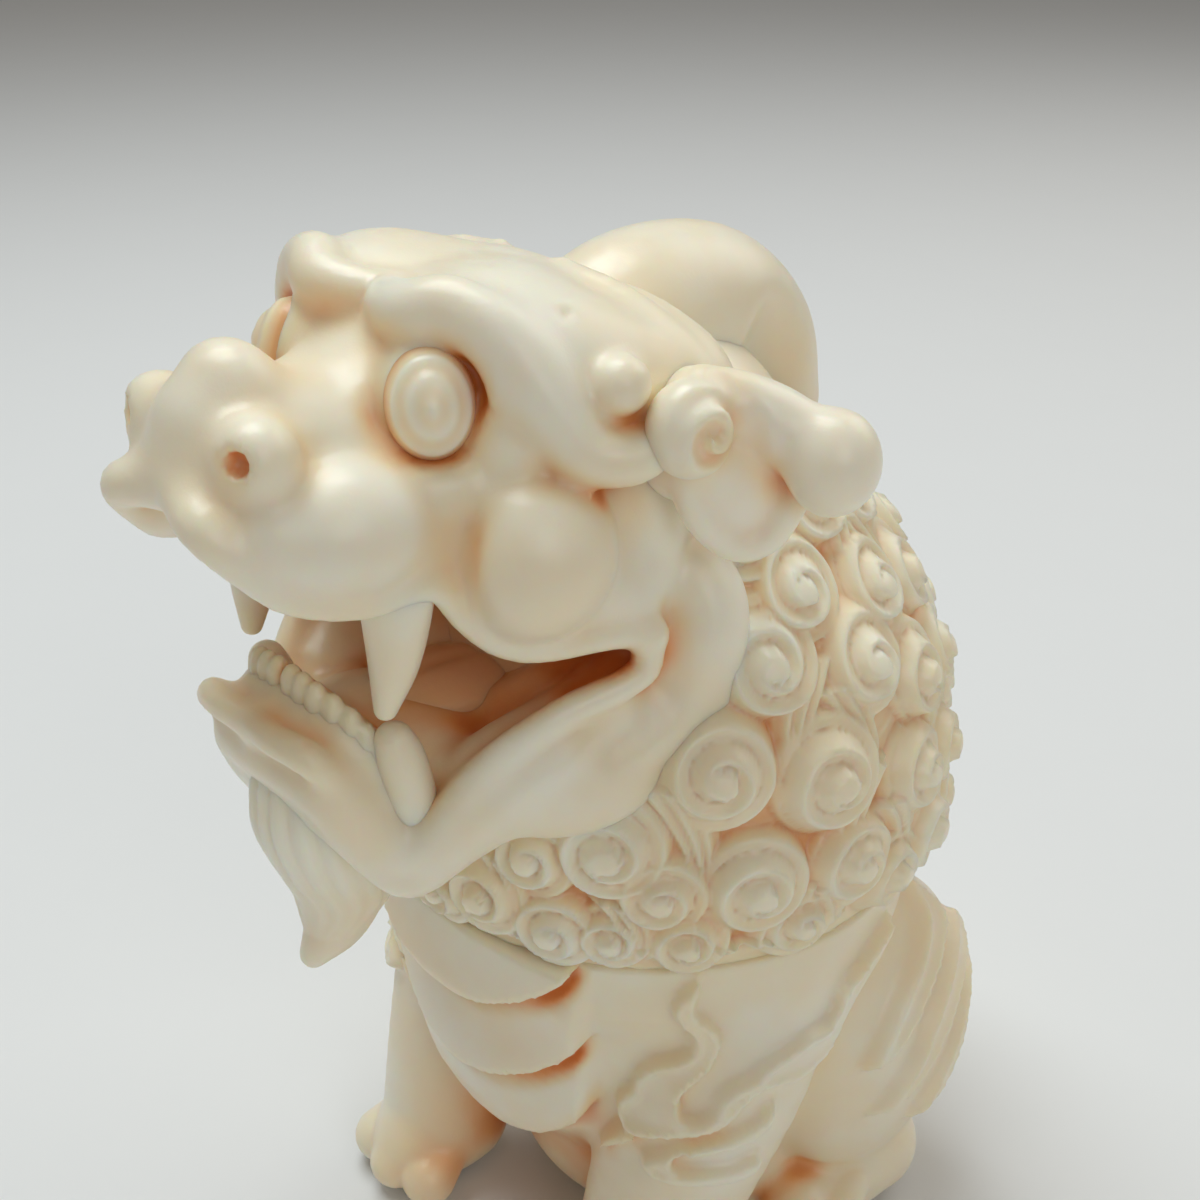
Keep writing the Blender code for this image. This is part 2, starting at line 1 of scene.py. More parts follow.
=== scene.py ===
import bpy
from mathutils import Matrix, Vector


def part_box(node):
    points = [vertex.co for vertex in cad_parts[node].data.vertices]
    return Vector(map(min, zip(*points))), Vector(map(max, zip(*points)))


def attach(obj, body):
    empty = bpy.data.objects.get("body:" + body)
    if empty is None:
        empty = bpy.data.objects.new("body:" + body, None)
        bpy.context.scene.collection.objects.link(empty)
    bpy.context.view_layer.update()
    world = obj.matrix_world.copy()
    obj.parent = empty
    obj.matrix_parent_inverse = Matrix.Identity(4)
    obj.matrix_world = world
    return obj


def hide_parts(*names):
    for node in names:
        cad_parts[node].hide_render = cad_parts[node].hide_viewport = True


bl_info = {
    "name": "Pixiu Incense Burner",
    "version": (1, 0, 0),
    "blender": (4, 5, 0),
    "location": "View3D > Sidebar > Burner",
    "description": "Dresses the packed incense burner with its carved resin, brass and felt",
    "category": "Object",
}

import math

import bmesh
import bpy
import numpy as np
import openvdb
from mathutils import Matrix, Vector

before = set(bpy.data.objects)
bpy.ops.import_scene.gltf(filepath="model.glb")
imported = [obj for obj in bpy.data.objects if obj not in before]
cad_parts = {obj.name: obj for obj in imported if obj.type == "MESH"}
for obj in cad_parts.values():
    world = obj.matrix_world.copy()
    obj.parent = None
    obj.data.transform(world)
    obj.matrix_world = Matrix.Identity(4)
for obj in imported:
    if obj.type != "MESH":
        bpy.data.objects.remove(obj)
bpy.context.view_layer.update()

MM = 0.001
RING_LOW, RING_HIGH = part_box("locating_ring")
NECK_Y = (RING_LOW.y + RING_HIGH.y) / 2
SEAM_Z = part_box("head_shell")[0].z


# Sizes and colours that a user would change

class BurnerSizes(bpy.types.PropertyGroup):
    seam_height: bpy.props.FloatProperty(
        name="Seam height", description="Height of the parting line between head and body",
        default=SEAM_Z, unit="LENGTH")
    neck_back: bpy.props.FloatProperty(
        name="Neck place", description="How far the neck's axis lies behind the origin",
        default=NECK_Y, unit="LENGTH")
    head_cell: bpy.props.FloatProperty(
        name="Head cell", description="Grid cell for carving the head", default=0.0005, unit="LENGTH")
    body_cell: bpy.props.FloatProperty(
        name="Body cell", description="Grid cell for carving the body", default=0.0004, unit="LENGTH")
    fine_cell: bpy.props.FloatProperty(
        name="Fine cell", description="Grid cell for horn, ears, beard, teeth and tail",
        default=0.00035, unit="LENGTH")
    mane_cell: bpy.props.FloatProperty(
        name="Mane cell", description="Spacing of points on the mane", default=0.00028, unit="LENGTH")
    camera_distance: bpy.props.FloatProperty(
        name="Camera distance", description="Distance from the lens to the centre of the seam",
        default=0.154, unit="LENGTH")
    camera_azimuth: bpy.props.FloatProperty(
        name="Camera azimuth", description="Angle of the view around the beast",
        default=math.radians(47), subtype="ANGLE")
    camera_elevation: bpy.props.FloatProperty(
        name="Camera elevation", description="Angle of the view above the horizon",
        default=math.radians(27), subtype="ANGLE")


class BurnerColours(bpy.types.PropertyGroup):
    ivory: bpy.props.FloatVectorProperty(
        name="Ivory", description="Cast resin in the light", subtype="COLOR", size=3,
        default=(0.92, 0.76, 0.51))
    # Painted light: laid on open surfaces, where little painted shade falls.
    ivory_painted_light: bpy.props.FloatVectorProperty(
        name="Pale ivory", description="Polished high spots of the resin", subtype="COLOR", size=3,
        default=(0.94, 0.92, 0.81))
    # Painted shade: the colour of the darkest hollows.
    ember_painted_shade: bpy.props.FloatVectorProperty(
        name="Ember", description="Resin in the darkest hollows, where only sunken light comes back",
        subtype="COLOR", size=3, default=(0.70, 0.20, 0.03))
    # Painted shade: the colour of the depths of the carving and the mouth.
    ivory_painted_warm_shade: bpy.props.FloatVectorProperty(
        name="Warm crevice", description="Resin in the depth of the carving", subtype="COLOR", size=3,
        default=(0.86, 0.36, 0.10))
    brass: bpy.props.FloatVectorProperty(
        name="Brass", description="Spun brass of the cup", subtype="COLOR", size=3,
        default=(0.78, 0.57, 0.25))
    soot: bpy.props.FloatVectorProperty(
        name="Soot", description="Tarnish and soot on the brass", subtype="COLOR", size=3,
        default=(0.16, 0.10, 0.05))
    fibre: bpy.props.FloatVectorProperty(
        name="Fibre", description="Heat-proof mat", subtype="COLOR", size=3, default=(0.80, 0.78, 0.71))
    felt: bpy.props.FloatVectorProperty(
        name="Felt", description="Felt under the paws", subtype="COLOR", size=3, default=(0.10, 0.09, 0.08))
    floor: bpy.props.FloatVectorProperty(
        name="Floor", description="Studio floor", subtype="COLOR", size=3, default=(0.80, 0.80, 0.79))


# How closed-in each point is judged, for the painted shade in the colour of the resin
SHADE_RAYS = 16
SHADE_REACHES = (0.8, 1.6, 3.0, 5.0, 7.5, 11.0, 15.0)
SHADE_LIFT = 0.4
SPIRAL_TURN = 2.4
SHUT_IN_SHARE = 1.25
SHUT_IN_POWER = 1.5
DENT_SHARE = 0.5

# Grid distances are kept only this near to the surface, in millimetres
FAR_OUT = 30.0
NEAR_BAND = 3.0
WINDOW_MARGIN = 3.0

TURNED_EDGE = math.radians(40)


# Modelling clay: distances on a grid, in millimetres from the centre of the seam

def smooth_min(a, b, soft):
    """The smaller of two distances, rounded where they are close."""
    if soft <= 0:
        return np.minimum(a, b)
    h = np.maximum(soft - np.abs(a - b), 0) / soft
    return np.minimum(a, b) - h * h * soft * 0.25


def ease(value, low, high):
    """A smooth rise from 0 at low to 1 at high."""
    t = np.clip((value - low) / (high - low), 0, 1)
    return t * t * (3 - 2 * t)


def turn_matrix(yaw, pitch, roll):
    """Rotation by yaw about Z, then pitch about X, then roll about Y, in degrees."""
    y, p, r = np.radians((yaw, pitch, roll))
    about_z = np.array(((np.cos(y), -np.sin(y), 0), (np.sin(y), np.cos(y), 0), (0, 0, 1)))
    about_x = np.array(((1, 0, 0), (0, np.cos(p), -np.sin(p)), (0, np.sin(p), np.cos(p))))
    about_y = np.array(((np.cos(r), 0, np.sin(r)), (0, 1, 0), (-np.sin(r), 0, np.cos(r))))
    return about_z @ about_x @ about_y


def smooth_path(points, steps):
    """Points of a smooth curve through the given rows of numbers."""
    rows = np.array(points, float)
    if len(rows) < 3:
        return rows
    chain = np.vstack((2 * rows[0] - rows[1], rows, 2 * rows[-1] - rows[-2]))
    path = []
    for i in range(1, len(chain) - 2):
        before, start, end, after = chain[i - 1:i + 3]
        for t in np.arange(steps) / steps:
            path.append(0.5 * (2 * start + (end - before) * t
                               + (2 * before - 5 * start + 4 * end - after) * t * t
                               + (3 * start - before - 3 * end + after) * t ** 3))
    path.append(rows[-1])
    return np.array(path)


class Egg:
    """An ellipsoid, turned by yaw, pitch and roll."""

    def __init__(self, centre, radii, turn=(0, 0, 0)):
        self.centre = np.array(centre, float)
        self.radii = np.ones(3) * np.array(radii, float)
        self.matrix = turn_matrix(*turn)
        reach = np.sqrt(((self.matrix * self.radii) ** 2).sum(1))
        self.low = self.centre - reach
        self.high = self.centre + reach

    def distance(self, x, y, z):
        offsets = (x - self.centre[0], y - self.centre[1], z - self.centre[2])
        scaled = []
        for i in range(3):
            along = sum(self.matrix[k, i] * offsets[k] for k in range(3))
            scaled.append(along / self.radii[i])
        size = np.sqrt(sum(s * s for s in scaled))
        slope = np.sqrt(sum((s / r) ** 2 for s, r in zip(scaled, self.radii)))
        return size * (size - 1) / np.maximum(slope, 1e-6)


class Rope:
    """A tube of changing thickness along a smooth path."""

    def __init__(self, points, radii, steps=5):
        rows = np.column_stack((np.array(points, float), np.broadcast_to(radii, len(points))))
        path = smooth_path(rows, steps)
        self.path = path[:, :3]
        self.radii = np.maximum(path[:, 3], 0.05)
        self.low = (self.path - self.radii[:, None]).min(0)
        self.high = (self.path + self.radii[:, None]).max(0)

    def distance(self, x, y, z):
        nearest = None
        for a, b, ra, rb in zip(self.path[:-1], self.path[1:], self.radii[:-1], self.radii[1:]):
            v = b - a
            length = max(v @ v, 1e-9)
            px, py, pz = x - a[0], y - a[1], z - a[2]
            t = np.clip((px * v[0] + py * v[1] + pz * v[2]) / length, 0, 1)
            d = np.sqrt((px - t * v[0]) ** 2 + (py - t * v[1]) ** 2 + (pz - t * v[2]) ** 2)
            d = d - (ra + (rb - ra) * t)
            nearest = d if nearest is None else np.minimum(nearest, d)
        return nearest


class Prism:
    """An outline in the plane of symmetry, carried across the whole width."""

    def __init__(self, outline, half_width):
        self.outline = np.array(outline, float)
        self.half_width = half_width
        self.low = np.array((-half_width, *self.outline.min(0)))
        self.high = np.array((half_width, *self.outline.max(0)))

    def distance(self, x, y, z):
        shape = np.broadcast(y, z).shape
        nearest = np.full(shape, 1e9)
        inside = np.zeros(shape, bool)
        for i in range(len(self.outline)):
            a = self.outline[i]
            edge = self.outline[i - 1] - a
            wy, wz = y - a[0], z - a[1]
            t = np.clip((wy * edge[0] + wz * edge[1]) / (edge @ edge), 0, 1)
            nearest = np.minimum(nearest, (wy - edge[0] * t) ** 2 + (wz - edge[1] * t) ** 2)
            crosses = (wz >= 0) != (wz >= edge[1])
            with np.errstate(divide="ignore", invalid="ignore"):
                crossing = edge[0] * wz / edge[1] if edge[1] else wz * 0
            inside ^= crosses & (wy < crossing)
        flat = np.where(inside, -1, 1) * np.sqrt(nearest)
        return np.maximum(flat, np.abs(x) - self.half_width)


class Lathe:
    """A solid of revolution about the neck: its radius by height, straight between the given points."""

    def __init__(self, heights, radii):
        self.heights = np.array(heights, float)
        self.radii = np.array(radii, float)
        reach = self.radii.max()
        self.low = np.array((-reach, -reach, self.heights.min()))
        self.high = np.array((reach, reach, self.heights.max()))

    def distance(self, x, y, z):
        radius = np.interp(z, self.heights, self.radii)
        side = (np.sqrt(x * x + y * y) - radius) * 0.9
        return np.maximum(side, np.maximum(self.heights[0] - z, z - self.heights[-1]))


class Clay:
    """A block of clay that shapes are added to and cut from; a mirrored block holds only its left half."""

    def __init__(self, low, high, cell, mirrored=True):
        self.mirrored = mirrored
        self.cell = cell
        self.low = np.array(low, float)
        if mirrored:
            self.low[0] = 0.0
        counts = np.ceil((np.array(high) - self.low) / cell).astype(int) + 1
        self.axes = [self.low[i] + cell * np.arange(counts[i]) for i in range(3)]
        self.depth = np.full(counts, FAR_OUT, np.float32)
        self.painted_shade_extra = None

    def window(self, shape, margin):
        first = np.floor((shape.low - margin - self.low) / self.cell).astype(int)
        last = np.ceil((shape.high + margin - self.low) / self.cell).astype(int) + 1
        first = np.maximum(first, 0)
        last = np.minimum(last, self.depth.shape)
        if (last <= first).any():
            return None, None
        part = tuple(slice(a, b) for a, b in zip(first, last))
        x, y, z = (self.axes[i][part[i]] for i in range(3))
        return part, (x[:, None, None], y[None, :, None], z[None, None, :])

    def places(self):
        """The whole grid's coordinates, ready to spread over one another."""
        x, y, z = self.axes
        return x[:, None, None], y[None, :, None], z[None, None, :]

    def add(self, shape, soft=1.5):
        part, places = self.window(shape, soft + WINDOW_MARGIN)
        if part:
            self.depth[part] = smooth_min(self.depth[part], shape.distance(*places), soft)

    def cut(self, shape, soft=0.6):
        part, places = self.window(shape, soft + WINDOW_MARGIN)
        if part:
            self.depth[part] = -smooth_min(-self.depth[part], shape.distance(*places), soft)

    def groove(self, shape, depth, width):
        """Presses a shallow line into the surface along a shape."""
        part, places = self.window(shape, width + 1)
        if part:
            far = np.maximum(shape.distance(*places), 0)
            self.depth[part] += depth * np.exp(-(far / width) ** 2).astype(np.float32)

    def keep_above(self, height):
        self.depth = np.maximum(self.depth, (height - self.axes[2])[None, None, :]).astype(np.float32)

    def keep_below(self, height):
        self.depth = np.maximum(self.depth, (self.axes[2] - height)[None, None, :]).astype(np.float32)

    def sample(self, field, points):
        """Values of a field between its grid points."""
        place = (points - self.low) / self.cell
        top = np.array(field.shape) - 1.001
        place = np.clip(place, 0, top)
        base = place.astype(int)
        t = place - base
        total = 0
        for corner in range(8):
            step = np.array((corner & 1, corner >> 1 & 1, corner >> 2 & 1))
            weight = np.prod(np.where(step, t, 1 - t), axis=1)
            i, j, k = (base + step).T
            total = total + weight * field[i, j, k]
        return total

    def full(self):
        """The depth grid with its mirrored half, and its lowest corner."""
        if not self.mirrored:
            return self.depth, self.low
        whole = np.concatenate((self.depth[:0:-1], self.depth), axis=0)
        low = self.low.copy()
        low[0] = -self.cell * (self.depth.shape[0] - 1)
        return whole, low

    def inside(self, points, solid):
        """Which of the points lie in the clay, by their nearest grid points."""
        place = points.copy()
        if self.mirrored:
            place[:, 0] = np.abs(place[:, 0])
        index = np.rint((place - self.low) / self.cell).astype(int)
        within = ((index >= 0) & (index < solid.shape)).all(1)
        i, j, k = np.where(within[:, None], index, 0).T
        return solid[i, j, k] & within

    def shut_in(self, points, normals):
        """How closed-in each point lies, for the painted shade: the share of short rays that meet clay again.
        """
        solid = self.depth < 0
        blocked = np.zeros(len(points))
        total = np.zeros(len(points))
        for k in range(SHADE_RAYS):
            height = 1 - (2 * k + 1) / SHADE_RAYS
            flat = math.sqrt(1 - height * height)
            way = np.array((flat * math.cos(SPIRAL_TURN * k), flat * math.sin(SPIRAL_TURN * k), height))
            facing = normals @ way
            ways = np.where(facing[:, None] < 0, -way, way)
            met = np.zeros(len(points), bool)
            for reach in SHADE_REACHES:
                met |= self.inside(points + SHADE_LIFT * normals + reach * ways, solid)
            blocked += np.abs(facing) * met
            total += np.abs(facing)
        return blocked / total

    def bake(self, name, shade=0.0):
        """The clay's surface as a mesh object, with how deep each point lies in the carving or the mouth,
        kept as its amount of painted shade.
        """
        whole, low = self.full()
        grid = openvdb.FloatGrid(background=NEAR_BAND)
        grid.copyFromArray(np.ascontiguousarray(np.clip(whole, -NEAR_BAND, NEAR_BAND)))
        points, quads = grid.convertToQuads(isovalue=0.0)
        points = points.astype(float) * self.cell + low
        thing = mesh_piece(name, points, quads)
        normals = np.zeros(len(points) * 3)
        thing.data.vertex_normals.foreach_get("vector", normals)
        normals = normals.reshape(-1, 3)
        near = points + normals
        if self.mirrored:
            near[:, 0] = np.abs(near[:, 0])
        dent = 1 - np.clip(self.sample(self.depth, near), 0, 1)
        # Painted shade: the given floor, more where short rays meet clay again, and more in dents.
        painted_shade = shade + SHUT_IN_SHARE * self.shut_in(points, normals) ** SHUT_IN_POWER + DENT_SHARE * dent
        # Extra painted shade laid in by the carving steps, such as under the chest plates and on the belly.
        if self.painted_shade_extra is not None:
            painted_shade = painted_shade + self.sample(self.painted_shade_extra, near)
        set_values(thing, "painted_shade", blend_over(quads, np.clip(painted_shade, 0, 1)))
        return thing


def blend_over(quads, values, rounds=5):
    """Softens one number per point by sharing it with the neighbours on the same faces."""
    corners = quads.ravel()
    shares = np.maximum(np.bincount(corners, minlength=len(values)), 1)
    for _ in range(rounds):
        faces = np.repeat(values[quads].mean(1), quads.shape[1])
        values = np.bincount(corners, weights=faces, minlength=len(values)) / shares
    return values


def to_frame(points):
    """Millimetres from the seam's centre as metres in the frame."""
    sizes = bpy.context.scene.burner_sizes
    return np.array(points, float) * MM + np.array((0, sizes.neck_back, sizes.seam_height))


def mesh_piece(name, points, faces):
    """A smooth-shaded mesh object from points in millimetres and faces of one kind."""
    mesh = bpy.data.meshes.new(name)
    places = to_frame(points).astype(np.float32)
    corners = faces.shape[1]
    mesh.vertices.add(len(places))
    mesh.vertices.foreach_set("co", places.ravel())
    mesh.loops.add(faces.size)
    mesh.loops.foreach_set("vertex_index", faces.astype(np.int32).ravel())
    mesh.polygons.add(len(faces))
    mesh.polygons.foreach_set("loop_start", np.arange(0, faces.size, corners, dtype=np.int32))
    mesh.update(calc_edges=True)
    mesh.validate()
    mesh.shade_smooth()
    thing = bpy.data.objects.new(name, mesh)
    bpy.context.scene.collection.objects.link(thing)
    return thing


def wrapped_quads(rows, columns, close_rows):
    """Faces over a grid of points that closes all round, and from its last row to its first if asked."""
    index = np.arange(rows * columns).reshape(rows, columns)
    if close_rows:
        index = np.concatenate((index, index[:1]), 0)
    index = np.concatenate((index, index[:, :1]), 1)
    corners = (index[:-1, :-1], index[1:, :-1], index[1:, 1:], index[:-1, 1:])
    return np.stack(corners, -1).reshape(-1, 4)


def set_values(thing, name, values):
    """Stores one number per point, for the materials."""
    layer = thing.data.attributes.new(name, "FLOAT", "POINT")
    layer.data.foreach_set("value", np.asarray(values, np.float32))


def weld_and_face_out(thing):
    """Closes a piece's poles and turns its faces outward."""
    bm = bmesh.new()
    bm.from_mesh(thing.data)
    bmesh.ops.remove_doubles(bm, verts=bm.verts, dist=1e-6)
    bmesh.ops.recalc_face_normals(bm, faces=bm.faces)
    bm.to_mesh(thing.data)
    bm.free()
    thing.data.shade_smooth()


def turned_piece(name, profile, steps=96):
    """A closed outline of (radius, height) points in millimetres from the seam, turned about the neck."""
    rows = np.array(profile, float)
    angles = np.arange(steps) * 2 * np.pi / steps
    ring = np.stack((np.cos(angles), np.sin(angles)), 1)
    points = np.zeros((len(rows), steps, 3))
    points[:, :, 0] = rows[:, :1] * ring[None, :, 0]
    points[:, :, 1] = rows[:, :1] * ring[None, :, 1]
    points[:, :, 2] = rows[:, 1:]
    count = len(rows)
    quads = []
    for i in range(count):
        j = (i + 1) % count
        if rows[i, 0] < 1e-6 and rows[j, 0] < 1e-6:
            continue
        for k in range(steps):
            m = (k + 1) % steps
            quads.append((i * steps + k, j * steps + k, j * steps + m, i * steps + m))
    thing = mesh_piece(name, points.reshape(-1, 3), np.array(quads))
    weld_and_face_out(thing)
    thing.data.set_sharp_from_angle(angle=TURNED_EDGE)
    return thing


def settle(thing, body, slot, material, *nodes):
    """Gives a piece its body, its material slot and its finish, and hides the nodes that it stands for; the
    slot argument is not used.
    """
    thing.data.materials.clear()
    thing.data.materials.append(material)
    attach(thing, body)
    if nodes:
        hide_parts(*nodes)


# Materials

def group_tree(name, inputs, outputs):
    """An empty shader node group with named sockets."""
    tree = bpy.data.node_groups.new(name, "ShaderNodeTree")
    for socket_name, kind in inputs:
        tree.interface.new_socket(socket_name, in_out="INPUT", socket_type=kind)
    for socket_name, kind in outputs:
        tree.interface.new_socket(socket_name, in_out="OUTPUT", socket_type=kind)
    return tree, tree.nodes.new("NodeGroupInput"), tree.nodes.new("NodeGroupOutput")


def noise(tree, scale, detail=4.0, roughness=0.55):
    """Noise in the object's own place, with its scale per metre."""
    place = tree.nodes.new("ShaderNodeTexCoord")
    node = tree.nodes.new("ShaderNodeTexNoise")
    node.inputs["Scale"].default_value = scale
    node.inputs["Detail"].default_value = detail
    node.inputs["Roughness"].default_value = roughness
    tree.links.new(place.outputs["Object"], node.inputs["Vector"])
    return node.outputs["Fac"]


def spread(tree, value, from_low, from_high, to_low=0.0, to_high=1.0):
    """A value carried from one range to another, held at the ends."""
    node = tree.nodes.new("ShaderNodeMapRange")
    node.interpolation_type = "SMOOTHSTEP"
    for name, number in (("From Min", from_low), ("From Max", from_high), ("To Min", to_low),
                         ("To Max", to_high)):
        node.inputs[name].default_value = number
    tree.links.new(value, node.inputs["Value"])
    return node.outputs["Result"]


def mix(tree, share, first, second):
    """A mix of two colours; each may be a socket or a plain colour."""
    node = tree.nodes.new("ShaderNodeMix")
    node.data_type = "RGBA"
    sockets = {socket.identifier: socket for socket in node.inputs}
    for name, value in (("Factor_Float", share), ("A_Color", first), ("B_Color", second)):
        put(tree, sockets[name], value)
    return next(socket for socket in node.outputs if socket.identifier == "Result_Color")


def put(tree, socket, value):
    """Links a socket or writes a plain value."""
    if isinstance(value, bpy.types.NodeSocket):
        tree.links.new(value, socket)
    elif isinstance(value, (int, float)):
        socket.default_value = value
    else:
        socket.default_value = (*value[:3], 1.0) if len(socket.default_value) == 4 else value


def arithmetic(tree, kind, first, second):
    node = tree.nodes.new("ShaderNodeMath")
    node.operation = kind
    put(tree, node.inputs[0], first)
    put(tree, node.inputs[1], second)
    return node.outputs[0]


def carved_tone_painted_light_shade_group():
    """Colour, roughness and fine height of carved resin: painted warm shade in the depths, painted light
    (paler) on open surfaces.
    """
    tree, enter, leave = group_tree(
        "carved_tone_painted_light_shade",
        (("Ivory", "NodeSocketColor"), ("Pale", "NodeSocketColor"), ("Warm", "NodeSocketColor"),
         ("Ember", "NodeSocketColor"), ("Warmth", "NodeSocketFloat"), ("Gloss", "NodeSocketFloat")),
        (("Colour", "NodeSocketColor"), ("Roughness", "NodeSocketFloat"), ("Height", "NodeSocketFloat")))
    depth = tree.nodes.new("ShaderNodeAttribute")
    depth.attribute_name = "painted_shade"
    clouds = noise(tree, 70.0, 3.0)
    grain = noise(tree, 900.0, 3.0)
    pits = noise(tree, 4200.0, 2.0)
    # Painted light: paler on open surfaces, where little painted shade falls, broken up by random clouds.
    open_painted_light = spread(tree, depth.outputs["Fac"], 0.30, 0.02)
    cloudy = spread(tree, clouds, 0.35, 0.70)
    painted_light_and_cloud_share = arithmetic(tree, "MULTIPLY", open_painted_light,
                            arithmetic(tree, "ADD", 0.25, arithmetic(tree, "MULTIPLY", cloudy, 0.5)))
    toned = mix(tree, painted_light_and_cloud_share, enter.outputs["Ivory"], enter.outputs["Pale"])
    # Painted warm shade in the depths.
    deep = spread(tree, depth.outputs["Fac"], 0.22, 0.66)
    painted_warm_shade_share = arithmetic(tree, "MULTIPLY", deep, enter.outputs["Warmth"])
    warmed = mix(tree, painted_warm_shade_share, toned, enter.outputs["Warm"])
    # Painted darkest shade in the deepest places.
    darkest = arithmetic(tree, "MULTIPLY", spread(tree, depth.outputs["Fac"], 0.52, 0.80),
                         enter.outputs["Warmth"])
    tree.links.new(mix(tree, darkest, warmed, enter.outputs["Ember"]), leave.inputs["Colour"])
    smudge = spread(tree, grain, 0.3, 0.75, -0.05, 0.07)
    tree.links.new(arithmetic(tree, "ADD", enter.outputs["Gloss"], smudge), leave.inputs["Roughness"])
    tree.links.new(arithmetic(tree, "ADD", arithmetic(tree, "MULTIPLY", grain, 0.6),
                              arithmetic(tree, "MULTIPLY", pits, 0.4)), leave.inputs["Height"])
    return tree


def fibre_group():
    """Colour and height of matted fibres, for the felt and the heat-proof mat."""
    tree, enter, leave = group_tree(
        "matted_fibre",
        (("Colour", "NodeSocketColor"), ("Marks", "NodeSocketColor"), ("Mark Share", "NodeSocketFloat")),
        (("Colour", "NodeSocketColor"), ("Height", "NodeSocketFloat")))
    fine = noise(tree, 3500.0, 6.0, 0.7)
    patches = noise(tree, 160.0, 4.0)
    light = spread(tree, fine, 0.3, 0.75, 0.55, 1.15)
    shade = tree.nodes.new("ShaderNodeVectorMath")
    shade.operation = "SCALE"
    tree.links.new(enter.outputs["Colour"], shade.inputs[0])
    tree.links.new(light, shade.inputs["Scale"])
    marked = arithmetic(tree, "MULTIPLY", spread(tree, patches, 0.52, 0.70), enter.outputs["Mark Share"])
    tree.links.new(mix(tree, marked, shade.outputs[0], enter.outputs["Marks"]), leave.inputs["Colour"])
    tree.links.new(fine, leave.inputs["Height"])
    return tree


def new_material(name):
    material = bpy.data.materials.new(name)
    material.use_nodes = True
    return material, material.node_tree, material.node_tree.nodes["Principled BSDF"]


def add_group(tree, group, **values):
    node = tree.nodes.new("ShaderNodeGroup")
    node.node_tree = group
    for name, value in values.items():
        put(tree, node.inputs[name.replace("_", " ")], value)
    return node


def add_bump(tree, shader, height, strength, distance):
    bump = tree.nodes.new("ShaderNodeBump")
    bump.inputs["Strength"].default_value = strength
    bump.inputs["Distance"].default_value = distance
    tree.links.new(height, bump.inputs["Height"])
    tree.links.new(bump.outputs["Normal"], shader.inputs["Normal"])


def resin_material(name, painted_shade_strength, gloss):
    """Satin cast resin that light sinks into."""
    colours = bpy.context.scene.burner_colours
    material, tree, shader = new_material(name)
    group = bpy.data.node_groups.get("carved_tone_painted_light_shade") or carved_tone_painted_light_shade_group()
    tone = add_group(tree, group, Ivory=colours.ivory, Pale=colours.ivory_painted_light, Warm=colours.ivory_painted_warm_shade,
                     Ember=colours.ember_painted_shade, Warmth=painted_shade_strength, Gloss=gloss)
    tree.links.new(tone.outputs["Colour"], shader.inputs["Base Color"])
    tree.links.new(tone.outputs["Roughness"], shader.inputs["Roughness"])
    shader.inputs["Subsurface Weight"].default_value = 0.55
    shader.inputs["Subsurface Radius"].default_value = (1.0, 0.55, 0.25)
    shader.inputs["Subsurface Scale"].default_value = 0.0022
    shader.inputs["IOR"].default_value = 1.5
    shader.inputs["Coat Weight"].default_value = 0.12
    shader.inputs["Coat Roughness"].default_value = 0.25
    add_bump(tree, shader, tone.outputs["Height"], 0.18, 0.00012)
    return material


def shared(name, maker, *values):
    """A material that is made once and then used again."""
    return bpy.data.materials.get(name) or maker(name, *values)


# The two resins differ only in the strength of the painted shade and in roughness.
def ivory():
    return shared("carved_ivory", resin_material, 0.85, 0.36)


def pale_ivory():
    return shared("carved_pale_ivory", resin_material, 0.6, 0.33)


def brass_material(name):
    """Spun brass with turning lines and patches of tarnish and soot."""
    colours = bpy.context.scene.burner_colours
    material, tree, shader = new_material(name)
    patches = spread(tree, noise(tree, 220.0, 6.0, 0.65), 0.46, 0.72)
    shader.inputs["Metallic"].default_value = 1.0
    tree.links.new(mix(tree, patches, colours.brass, colours.soot), shader.inputs["Base Color"])
    tree.links.new(spread(tree, patches, 0.0, 1.0, 0.28, 0.62), shader.inputs["Roughness"])
    place = tree.nodes.new("ShaderNodeTexCoord")
    rings = tree.nodes.new("ShaderNodeTexWave")
    rings.wave_type = "RINGS"
    rings.rings_direction = "Z"
    rings.inputs["Scale"].default_value = 900.0
    rings.inputs["Distortion"].default_value = 0.4
    tree.links.new(place.outputs["Object"], rings.inputs["Vector"])
    add_bump(tree, shader, rings.outputs["Fac"], 0.25, 0.00005)
    return material


def matted_material(name, colour, marks, mark_share):
    """Felt or heat-proof mat."""
    material, tree, shader = new_material(name)
    group = bpy.data.node_groups.get("matted_fibre") or fibre_group()
    fibres = add_group(tree, group, Colour=colour, Marks=marks, Mark_Share=mark_share)
    tree.links.new(fibres.outputs["Colour"], shader.inputs["Base Color"])
    shader.inputs["Roughness"].default_value = 0.95
    add_bump(tree, shader, fibres.outputs["Height"], 0.7, 0.0002)
    return material


# The head

MOUTH_OUTLINE = (
    (-60, 47.5), (-47.5, 43.6), (-42.6, 38.6), (-38.0, 37.5), (-34.4, 37.9), (-32.6, 37.9), (-31.0, 34.6),
    (-28.6, 32.4), (-25.9, 31.7), (-21.5, 31.9), (-18.6, 32.0), (-17.4, 30.4), (-19.4, 28.6), (-25.2, 27.0),
    (-30.2, 23.4), (-34.4, 16.6), (-36.8, 19.4), (-38.6, 22.8), (-40.6, 26.2), (-60, 28),
)
MANE_HEIGHTS = (-2.0, 0.0, 4.0, 10.0, 18.0, 24.0, 29.0, 34.0, 38.0, 42.0)
MANE_RADII = (24.6, 25.0, 25.6, 25.8, 24.8, 22.6, 19.6, 16.2, 13.2, 10.0)


